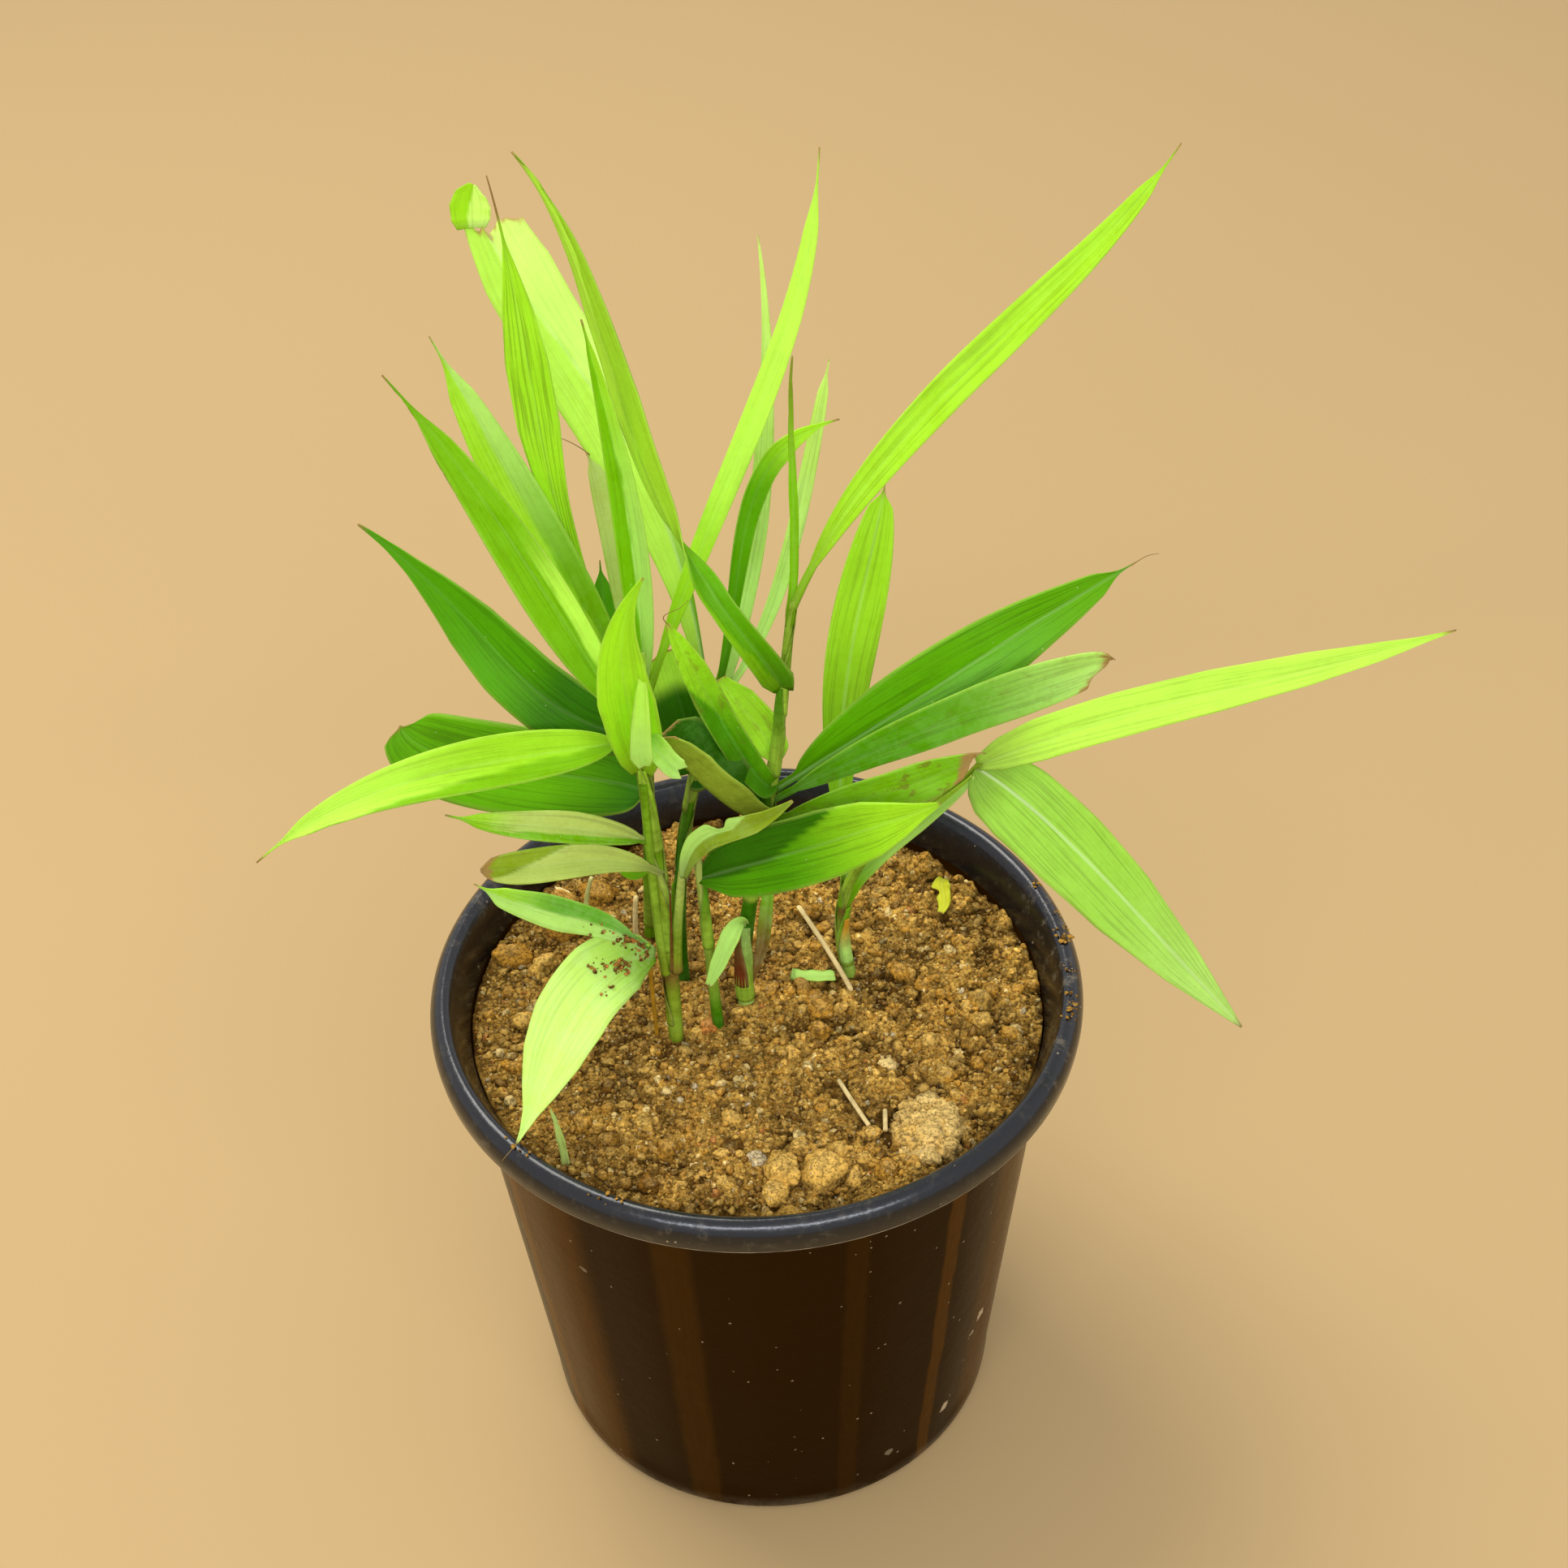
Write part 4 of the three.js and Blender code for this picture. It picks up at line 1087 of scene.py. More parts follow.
LEAVES_BACK = (
    Leaf(249, ((-25, 66, 310), (-49, 88, 346), (-70, 106, 378)), 21.8, Tone.MID, Tone.PALE,
         outline=((0, 0.05), (0.1, 0.2), (0.25, 0.5), (0.4, 0.85), (0.6, 1), (0.85, 1), (1, 0.72)),
         beyond=Tone.BRIGHT, bias=(-0.7, 0.3),
         turn=5, ripple=0.8, fade=(0.1, 0.4), bloom=0.1, rib=0.5, dry_from=0.99, veins=0.25,
         torn=((-1, 0), (-0.1, 0.02), (0, 0.05), (0.2, 0.045), (0.3, 0.03), (0.6, 0.015), (1, 0.035))),
    Leaf(None, ((-72.4, 103, 376.8), (-72.2, 103, 384), (-70.9, 103, 390.2)), 11.8, Tone.PALE,
         outline=((0, 0.72), (0.15, 0.95), (0.45, 1), (0.75, 0.75), (1, 0.2)), fold=4, ripple=0.6,
         line=((0, -0.3), (1, 0.3)), beyond=Tone.LIME, bloom=0.0, dry_from=1.0, rib=0.0),
    Leaf(252, ((3.9, 50, 295), (9.9, 62, 345), (9, 72, 389)), 6.4, Tone.MILKY, Tone.PALE,
         outline=((0, 0.6), (0.2, 0.9), (0.4, 1), (0.55, 0.85), (0.7, 0.55), (0.85, 0.28), (1, 0.04)),
         ripple=0.3, bloom=0.4, dry_from=0.985, veins=0.6),
    Leaf(252, ((-0.6, 26, 305), (7.8, 25, 341), (29.3, 33, 354)), 6.4, Tone.FRESH, Tone.LIME,
         outline=((0, 0.2), (0.2, 0.5), (0.4, 0.8), (0.6, 1), (0.78, 1), (0.88, 0.6),
                  (0.94, 0.2), (1, 0.03)),
         turn=10, twist=10, fold=14, fade=(0.6, 0.9)),
    Leaf(253, ((9, 52, 275), (20, 64, 310), (28, 72, 348)), 4.9, Tone.MILKY, Tone.PALE,
         fold=6, taper=0.5, bloom=0.4, dry_from=1.0, point=0.05, veins=0.6),
    # Painted shade: this leaf is DARK over its lower two thirds, for the shade under the crown's collar, and
    # BRIGHT at its top.
    Leaf(230, ((-16, 31, 239), (-19.5, 30, 262), (-23, 28, 279.5)), 19, Tone.DARK, Tone.BRIGHT,
         outline=((0, 0.5), (0.25, 0.9), (0.6, 1), (0.9, 1), (1, 0.7)), fade=(0.65, 0.77),
         fold=24, ripple=1.2, dry_from=0.985),
)
STEM_BACK = Stem(
    ((-23, 15, 160), (-22, 21, 194), (-17, 29, 225), (-8, 35, 256)), 2.8, 2,
    ((158, Tone.DARK), (200, Tone.DARK), (256, Tone.MID)),
    LEAVES_BACK,
)
LEAVES_RIGHT = (
    Leaf(256, ((111, 4, 270), (156, 8, 279), (202, 14, 288)), 13, Tone.BRIGHT,
         outline=((0, 0.3), (0.05, 0.7), (0.13, 0.95), (0.3, 1), (0.5, 0.95), (0.7, 0.72),
                  (0.85, 0.4), (0.93, 0.16), (1, 0.03)),
         turn=5, ripple=0.4, bloom=0.0, veins=0.5, bias=(-0.12, -0.12)),
    Leaf(255, ((88, -12, 241), (113, -26, 217), (142, -38, 184)), 24, Tone.SOFT, Tone.MILKY,
         outline=((0, 0.3), (0.03, 0.6), (0.09, 0.85), (0.2, 0.98), (0.4, 1), (0.6, 0.88),
                  (0.8, 0.55), (0.92, 0.24), (1, 0.03)),
         ripple=0.6, bloom=0.05, rib=0.75, veins=0.7, bias=(0.1, 0.1), fade=(0.5, 1)),
    Leaf(197, ((28.8, 44, 233), (35.3, 62, 266), (43.8, 76, 301)), 15.6, Tone.MID, Tone.LIME,
         swell=0.9, taper=0.6, ripple=0.8, rib=0.3, fade=(0, 0.7), point=0.03, veins=0.6),
    Leaf(188, ((31, 11, 202), (39, 6, 218), (53, 0, 238), (65, -2, 254)), 6.8, Tone.MID, Tone.MILKY,
         outline=((0, 0.4), (0.15, 0.8), (0.4, 1), (0.7, 0.8), (0.9, 0.45), (1, 0.2)), fold=26,
         line=((0, 0), (1, -0.2)), beyond=Tone.STALK, fade=(0.2, 0.6), dry_from=1.0),
)
STEM_RIGHT = Stem(
    ((29, 15, 160), (28, 14, 191), (37, 8, 218), (52, 3, 238), (67, 0, 257)), 2.7, 1.3,
    ((158, Tone.STALK), (168, Tone.MILKY), (176, Tone.AMBER), (180, Tone.STALK), (188, Tone.BROWN),
     (192, Tone.STALK), (257, Tone.OLIVE)),
    LEAVES_RIGHT,
    (
        Husk(164, 184, -60, 80, 24, 0.5, Tone.MILKY, Tone.AMBER),
        Husk(189, 203, 170, 90, 40, 2, Tone.MID, Tone.STALK),
    ),
)
LEAVES_SHOOT_LOW = (
    Leaf(202, ((-48, -17, 216.7), (-63, -18, 224), (-79, -18, 233.6)), 10.5, Tone.SEA, Tone.LIME,
         line=((0, -0.2), (1, 0)), beyond=Tone.MILKY,
         turn=-15, fold=14, ripple=1.2, bloom=0.3, taper=0.7, fade=(0.5, 0.9)),
    Leaf(None, ((-29.5, -15, 199), (-46.9, -31, 202), (-58.7, -50.5, 192.4), (-69.5, -67, 177)), 22,
         Tone.MID, Tone.PALE,
         outline=((0, 0.2), (0.06, 0.55), (0.14, 0.88), (0.27, 1), (0.5, 0.98), (0.65, 0.8),
                  (0.78, 0.48), (0.87, 0.22), (0.95, 0.08), (1, 0.03)),
         fold=12, ripple=0.9, bloom=0.5, fade=(-0.1, 0.45), veins=0.45, bias=(0.1, 0.1),
         rib=0.15, dry_from=0.985, tail=((-2.2, -2.6, -0.8), (-4.4, -4.4, -2.6))),
)
SHOOT_LOW = Stem(
    ((-31, -8, 160), (-31, -12, 181), (-31, -15, 204)), 0.9, 0.9,
    ((158, Tone.AMBER), (193, Tone.AMBER), (204, Tone.STALK)),
    LEAVES_SHOOT_LOW,
    clasped=False,
)
STEMS: dict[str, Stem] = {
    "stem_left": STEM_LEFT,
    "stem_left_back": STEM_LEFT_BACK,
    "stem_front": STEM_FRONT,
    "stem_middle": STEM_MIDDLE,
    "stem_back": STEM_BACK,
    "stem_right": STEM_RIGHT,
    "shoot_low": SHOOT_LOW,
}

# Straws that stand in the soil
DRY = ((150, Tone.STRAW), (190, Tone.STRAW))
STICKS: dict[str, Stem] = {
    "straw_leaning": Stem(((29, 7, 160), (22, 12, 173), (14, 17, 186)), 0.9, 0.8, DRY),
    "straw_back": Stem(((-37, 22, 160), (-37, 22, 174), (-36, 22, 188)), 0.9, 0.8, DRY),
    "straw_left": Stem(((-54, 44, 160), (-53, 43, 169), (-51, 42, 178)), 0.9, 0.7,
                       ((150, Tone.MILKY), (190, Tone.STRAW))),
}

# A weed's narrow blade
WEED = Leaf(None, ((-57, -60, 157), (-58, -59, 170), (-60, -57, 180)), 1.3, Tone.GREY,
            outline=((0, 0.7), (0.5, 1.0), (1, 0.3)), fold=10, bloom=0.5, dry_from=1.0)

# Straws that lie on the soil: x, y, length, heading in degrees
LYING_STRAWS = {
    "straw_front": (28, -43, 20, -66),
    "straw_short": (37, -50, 8, -92),
}

# Scraps of leaf that lie on the soil, with heights above their lowest place
SCRAPS: dict[str, tuple[Leaf, str]] = {
    "scrap_green": (Leaf(None, ((11, 12, 0.6), (15, 11.5, 0), (20, 11, 0.2), (24.5, 11, 0)), 4.4,
                         Tone.MILKY, outline=((0, 0.7), (0.1, 1.0), (0.9, 1.0), (1, 0.8)),
                         dry_from=1.0, fold=0), "leaf_green"),
    "scrap_yellow": (Leaf(None, ((61, 53, 0), (60, 48, 1.5), (60.5, 43, 1), (59, 38, 0)), 7,
                          Tone.SALLOW, outline=((0, 0.5), (0.25, 0.9), (0.45, 0.7), (0.7, 0.6), (1, 0.3)),
                          dry_from=1.0, fold=0, ripple=1.5, bites=((1, 0.45, 0.6, 0.1),)), "leaf_lime"),
    "strip_pale": (Leaf(None, ((-58, 47, 0), (-61, 50, 0), (-64, 53, 0)), 3, Tone.STRAW, fold=0), "dry_leaf"),
}


@dataclass
class Litter:
    """What lies or stands on the soil beside the plant: straws, scraps of leaf, a weed."""

    straw_radius: float = 0.7
    straw_sag: float = 0.3
    scrap_grid: tuple[int, int] = (30, 9)
    straw_rows: int = 18
    straw_sides: int = 10

    def straw(self, name: str, x: float, y: float, length: float, heading: float) -> Surface:
        """A straw that lies on the soil: circles about a line that sags in its middle."""
        low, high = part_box(name)
        middle = (low.z + high.z) / 2 / MM
        t = np.linspace(-1, 1, self.straw_rows)
        way = math.radians(heading)
        along = np.array([math.cos(way), math.sin(way), 0.0])
        side = np.array([-math.sin(way), math.cos(way), 0.0])
        up = np.array([0.0, 0.0, 1.0])
        centre = np.array([x, y, middle]) + along * (t * length / 2)[:, None]
        centre = centre - up * (self.straw_sag * (1 - t**2))[:, None]
        rings = round_rings(centre, self.straw_radius, side, up, self.straw_sides)
        uneven = Lattice(77).at(rings * (1, 1, 3), 2.5)[..., None]
        return tube_surface(rings, plain_values(Tone.STRAW.value.upper * (1 + 0.25 * uneven), rings, 7))

    def build(self, materials: dict[str, Material]) -> None:
        """Makes every straw, scrap and shoot in place of its solid."""
        for i, (name, stick) in enumerate(STICKS.items()):
            stalk = LeafyStem(name, stick, 20 + i, "dry_leaf", sides=10, rows=16, slimmed=1.0)
            stalk.build(materials["dry_leaf"])
        weed = Blade(WEED, None, 29, *self.scrap_grid).surface().build("fine_weed", materials["leaf_green"])
        dressed(weed, "leaf_green", "weed_shoot")
        for name, numbers in LYING_STRAWS.items():
            piece = self.straw(name, *numbers).build(f"fine_{name}", materials["dry_leaf"])
            dressed(piece, "dry_leaf", name)
        for i, (name, (leaf, slot)) in enumerate(SCRAPS.items()):
            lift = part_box(name)[0].z / MM + Blade.STALK / 2
            places = tuple((x, y, z + lift) for x, y, z in leaf.places)
            up = np.array([0.0, 0.0, 1.0])
            scrap = Blade(replace(leaf, places=places), None, 60 + i, *self.scrap_grid, facing=up)
            dressed(scrap.surface().build(f"fine_{name}", materials[slot]), slot, name)


@dataclass
class Pot:
    """The moulded nursery pot: a tapered wall with shallow upright flutes under a rolled lip."""

    height: float = 174.0
    rim_radius: float = 100.0
    wall_top_radius: float = 90.7
    base_radius: float = 73.0
    wall: float = 2.0
    floor: float = 3.0
    lip_height: float = 10.5
    lip_inner_radius: float = 92.5
    flutes: int = 16
    flute_depth: float = 0.5
    drain_holes: int = 6
    drain_radius: float = 5.0
    drain_circle: float = 52.0
    sides: int = 192

    def wall_radius(self, z: Array) -> Array:
        """The outside radius of the wall, which widens evenly from the base to the lip."""
        rise = (self.wall_top_radius - self.base_radius) / (self.height - self.lip_height)
        return self.base_radius + rise * np.asarray(z, float)

    @staticmethod
    def rounded(points: list[tuple[float, float]], rounds: int = 2) -> Array:
        """A polyline with its corners cut: each round puts two points a quarter and three
        quarters of the way along every edge, and keeps both ends."""
        line = np.array(points, float)
        for _ in range(rounds):
            near = 0.75 * line[:-1] + 0.25 * line[1:]
            far = 0.25 * line[:-1] + 0.75 * line[1:]
            cut = np.stack([near, far], 1).reshape(-1, 2)
            line = np.concatenate([line[:1], cut, line[-1:]])
        return line

    def profile(self) -> tuple[Array, slice]:
        """The section from the middle of the underside, up the outside, over the lip and down
        the inside to the middle of the floor.

        Returns:
            (n, 2) radii and heights, and which of them lie on the outside of the wall.
        """
        top, rim = self.height, self.rim_radius
        under = top - self.lip_height
        heights = np.linspace(9, under - 1.2, 46)
        foot = self.rounded([(8, 0), (45, 0), (self.base_radius - 2, 0),
                             (float(self.wall_radius(2)), 2), (float(self.wall_radius(8)), 8)])
        wall = np.stack([self.wall_radius(heights), heights], -1)
        ledge = [(self.wall_top_radius, under), (rim - 2.2, under - 0.15)]
        lip = self.rounded([(rim - 2.0, under), (rim - 0.6, under + 0.1), (rim - 0.45, under + 0.9),
                            (rim - 0.1, under + 3.4), (rim - 0.25, under + 5.6), (rim - 1.0, under + 7.6),
                            (rim - 2.4, under + 9.4), (rim - 4.4, top), (rim - 6.2, top - 0.8),
                            (self.lip_inner_radius, top - 3)])
        depths = np.linspace(under - 3, self.floor + 3, 24)
        inside = np.stack([self.wall_radius(depths) - self.wall, depths], -1)
        floor = self.floor
        end = float(self.wall_radius(floor)) - self.wall
        bottom = self.rounded([(end, floor + 2), (end - 0.5, floor), (45, floor), (8, floor)])
        outside = slice(len(foot), len(foot) + len(wall))
        return np.concatenate([foot, wall, ledge, lip, inside, bottom]), outside

    def surface(self) -> Surface:
        """The profile carried round the axis. On the wall the radius is drawn in by half the
        flute depth times (1 - cos(flutes times the angle)), fading out at both ends."""
        section, outside = self.profile()
        angle = even_angles(self.sides)
        radius = np.repeat(section[:, :1], self.sides, axis=1)
        z = np.repeat(section[:, 1:], self.sides, axis=1)
        fade = smooth(z, 7, 14) * (1 - smooth(z, 152, 160))
        inset = self.flute_depth / 2 * (1 - np.cos(self.flutes * angle))[None, :] * fade
        radius[outside] -= inset[outside]
        rings = np.stack([radius * np.cos(angle), radius * np.sin(angle), z], -1)
        return tube_surface(rings, {})

    def drill(self, piece: Object) -> None:
        """Cuts the drain holes through the floor, with all the drills in one cutter."""
        drills = bmesh.new()
        for i in range(self.drain_holes):
            angle = 2 * math.pi * (i + 0.5) / self.drain_holes
            reach, radius = self.drain_circle * MM, self.drain_radius * MM
            place = Matrix.Translation((reach * math.cos(angle), reach * math.sin(angle), 0))
            bmesh.ops.create_cone(drills, cap_ends=True, segments=40, radius1=radius, radius2=radius,
                                  depth=4 * self.floor * MM, matrix=place)
        mesh = bpy.data.meshes.new("drills")
        drills.to_mesh(mesh)
        drills.free()
        cutter = linked("drills", mesh)
        cut = piece.modifiers.new("drain", "BOOLEAN")
        cut.operation = "DIFFERENCE"
        cut.solver = "EXACT"
        cut.object = cutter
        made = piece.evaluated_get(bpy.context.evaluated_depsgraph_get())
        finished = bpy.data.meshes.new_from_object(made)
        piece.modifiers.clear()
        piece.data = finished
        bpy.data.objects.remove(cutter)

    def build(self, wall: Material, lip: Material) -> Object:
        """Makes the pot in place of its solid, with the lip's faces in a finish of their own."""
        piece = self.surface().build("moulded_pot", wall)
        self.drill(piece)
        mesh = piece.data
        mesh.materials.append(lip)
        centres = np.empty(len(mesh.polygons) * 3, np.float32)
        mesh.polygons.foreach_get("center", centres)
        high = centres[2::3] > (self.height - self.lip_height - 0.3) * MM
        mesh.polygons.foreach_set("material_index", high.astype(np.int32))
        return dressed(piece, "pot_plastic", "pot")


class Loam(Enum):
    """The colours of the soil's crumbs."""

    DARK = (0.16, 0.07, 0.007)
    RED = (0.48, 0.18, 0.035)
    BROWN = (0.4, 0.197, 0.024)
    TAN = (0.57, 0.33, 0.064)
    PALE = (0.74, 0.53, 0.2)
    GREY = (0.55, 0.43, 0.25)


# The broad low clod: x, y, half its width, half its depth
BROAD_CLOD = (49.5, -52.5, 10.5, 14.5)
# Clods bedded in the soil: x, y, radius, colour
CLODS = (
    (5.8, -67, 5.9, Loam.TAN),
    (17.5, -67, 6.2, Loam.TAN),
    (11.5, -57.5, 3.2, Loam.TAN),
    (30, -61.5, 3.4, Loam.TAN),
    (27, -69, 4.0, Loam.TAN),
    (37.5, -67, 4, Loam.BROWN),
    (-1, -61.5, 2.4, Loam.GREY),
    (-11, -60, 2.6, Loam.TAN),
    (15, -26, 2.4, Loam.PALE),
    (-60, 40, 8, Loam.BROWN),
    (-50, 52, 6, Loam.BROWN),
    (22.8, -59, 3.8, Loam.TAN),
    (4, -75.5, 4.4, Loam.TAN),
    (-10.5, -71, 3.3, Loam.TAN),
    (32.5, -53.5, 2.9, Loam.TAN),
    (-15.3, -8, 3.2, Loam.RED),
    (-77, 26, 5.4, Loam.BROWN),
    (-67, 21, 4.6, Loam.TAN),
    (-72, -2, 3.6, Loam.TAN),
)


def shades_of(*tones: Loam) -> Array:
    """The colours of the given tones, as (n, 3)."""
    return np.array([tone.value for tone in tones])


def icosphere(level: int) -> tuple[Array, Array]:
    """The unit icosphere's points and triangles, at Blender's subdivision level."""
    ball = bmesh.new()
    bmesh.ops.create_icosphere(ball, subdivisions=level, radius=1.0)
    points = np.array([v.co for v in ball.verts])
    faces = np.array([[v.index for v in f.verts] for f in ball.faces])
    ball.free()
    return points, faces


@dataclass
class Crumbs:
    """Many small lumps in one surface, each with its own shape, turn, size and colour."""

    centres: Array
    sizes: Array
    colours: Array
    seed: int
    level: int = 1
    squash: float = 0.85
    rough: float = 0.42
    grit: float = 0.0

    def surface(self) -> Surface:
        """Every lump: the icosphere's points times the lump's size, pushed in and out by
        noise of the lump's own and by finer grit, stretched, turned at random, squashed in
        height and put in its place. The skin is the lump's colour with painted shade, darker
        underneath and in its hollows, and painted light, paler on top."""
        rng = np.random.default_rng(self.seed)
        ball, faces = icosphere(self.level)
        count = len(self.centres)
        spin = unit(rng.normal(size=(count, 4)))
        w, x, y, z = spin.T
        turn = np.stack([
            1 - 2 * (y * y + z * z), 2 * (x * y - z * w), 2 * (x * z + y * w),
            2 * (x * y + z * w), 1 - 2 * (x * x + z * z), 2 * (y * z - x * w),
            2 * (x * z - y * w), 2 * (y * z + x * w), 1 - 2 * (x * x + y * y),
        ], -1).reshape(count, 3, 3)
        stretch = rng.uniform(0.7, 1.3, (count, 1, 3))
        shift = rng.uniform(0, 900, (count, 1, 3))
        noise = Lattice(self.seed)
        relief = noise.fractal(ball[None] + shift, 0.9, min(self.level, 5))
        lumps = ball[None] * np.clip(1 + self.rough * relief, 0.35, 2.2)[..., None]
        lumps = np.einsum("nij,nmj->nmi", turn, lumps * stretch) * (1, 1, self.squash)
        if self.grit:
            fine = np.abs(noise.at(lumps * self.sizes[:, None, None] + shift, 1.7))
            fine = fine + 0.5 * np.abs(noise.at(lumps * self.sizes[:, None, None] + shift, 0.8))
            lumps = lumps * (1 + (self.grit * (fine - 0.4) / self.sizes[:, None])[..., None])
            relief = relief + 1.6 * (fine - 0.4)
        points = self.centres[:, None] + lumps * self.sizes[:, None, None]
        lift = unit(lumps)[..., 2]
        # Painted shade underneath and in the hollows, and painted light on the top, of each lump.
        shade = (0.4 + 0.65 * smooth(lift, -0.8, 0.6)) * (1 + 0.3 * np.clip(relief, -1, 1))
        skin = self.colours[:, None, :] * shade[..., None]
        skin = blend_colours(skin, Loam.PALE.value, 0.2 * smooth(lift, 0.4, 1.0))
        base = (np.arange(count) * len(ball))[:, None, None]
        triangles = (faces[None] + base).reshape(-1, 3)
        values = {"skin": opaque(np.clip(skin, 0, 1)).reshape(-1, 4)}
        return Surface(points.reshape(-1, 3), np.zeros((0, 4), int), triangles, values)


@dataclass(frozen=True)
class Grade:
    """Crumbs of one size range: how far apart, what share of places is filled, their radii
    in millimetres, and the icosphere's level."""

    name: str
    pitch: float
    share: float
    least: float
    middle: float
    most: float
    level: int
    seed: int


GRADES = (
    Grade("dust", 1.72, 0.95, 0.38, 0.58, 0.85, 1, 41),
    Grade("grit", 2.15, 0.85, 0.6, 0.84, 1.2, 1, 47),
    Grade("crumbs", 4.3, 0.8, 1.0, 1.3, 1.9, 2, 42),
    Grade("lumps", 12.0, 0.4, 1.8, 2.3, 3.2, 3, 46),
)


class SeededDraw:
    """Random numbers from 0 to 1 by the Mulberry32 rule, in 32-bit whole numbers."""

    STEP = 0x6D2B79F5
    MASK = 0xFFFFFFFF

    def __init__(self, seed: int) -> None:
        """Starts the row, one draw in."""
        self.state = seed
        self.next()

    def next(self) -> float:
        """The next number."""
        self.state = (self.state + self.STEP) & self.MASK
        t = self.state
        t = ((t ^ (t >> 15)) * (t | 1)) & self.MASK
        t ^= (t + (((t ^ (t >> 7)) * (t | 61)) & self.MASK)) & self.MASK
        return (t ^ (t >> 14)) / 2**32


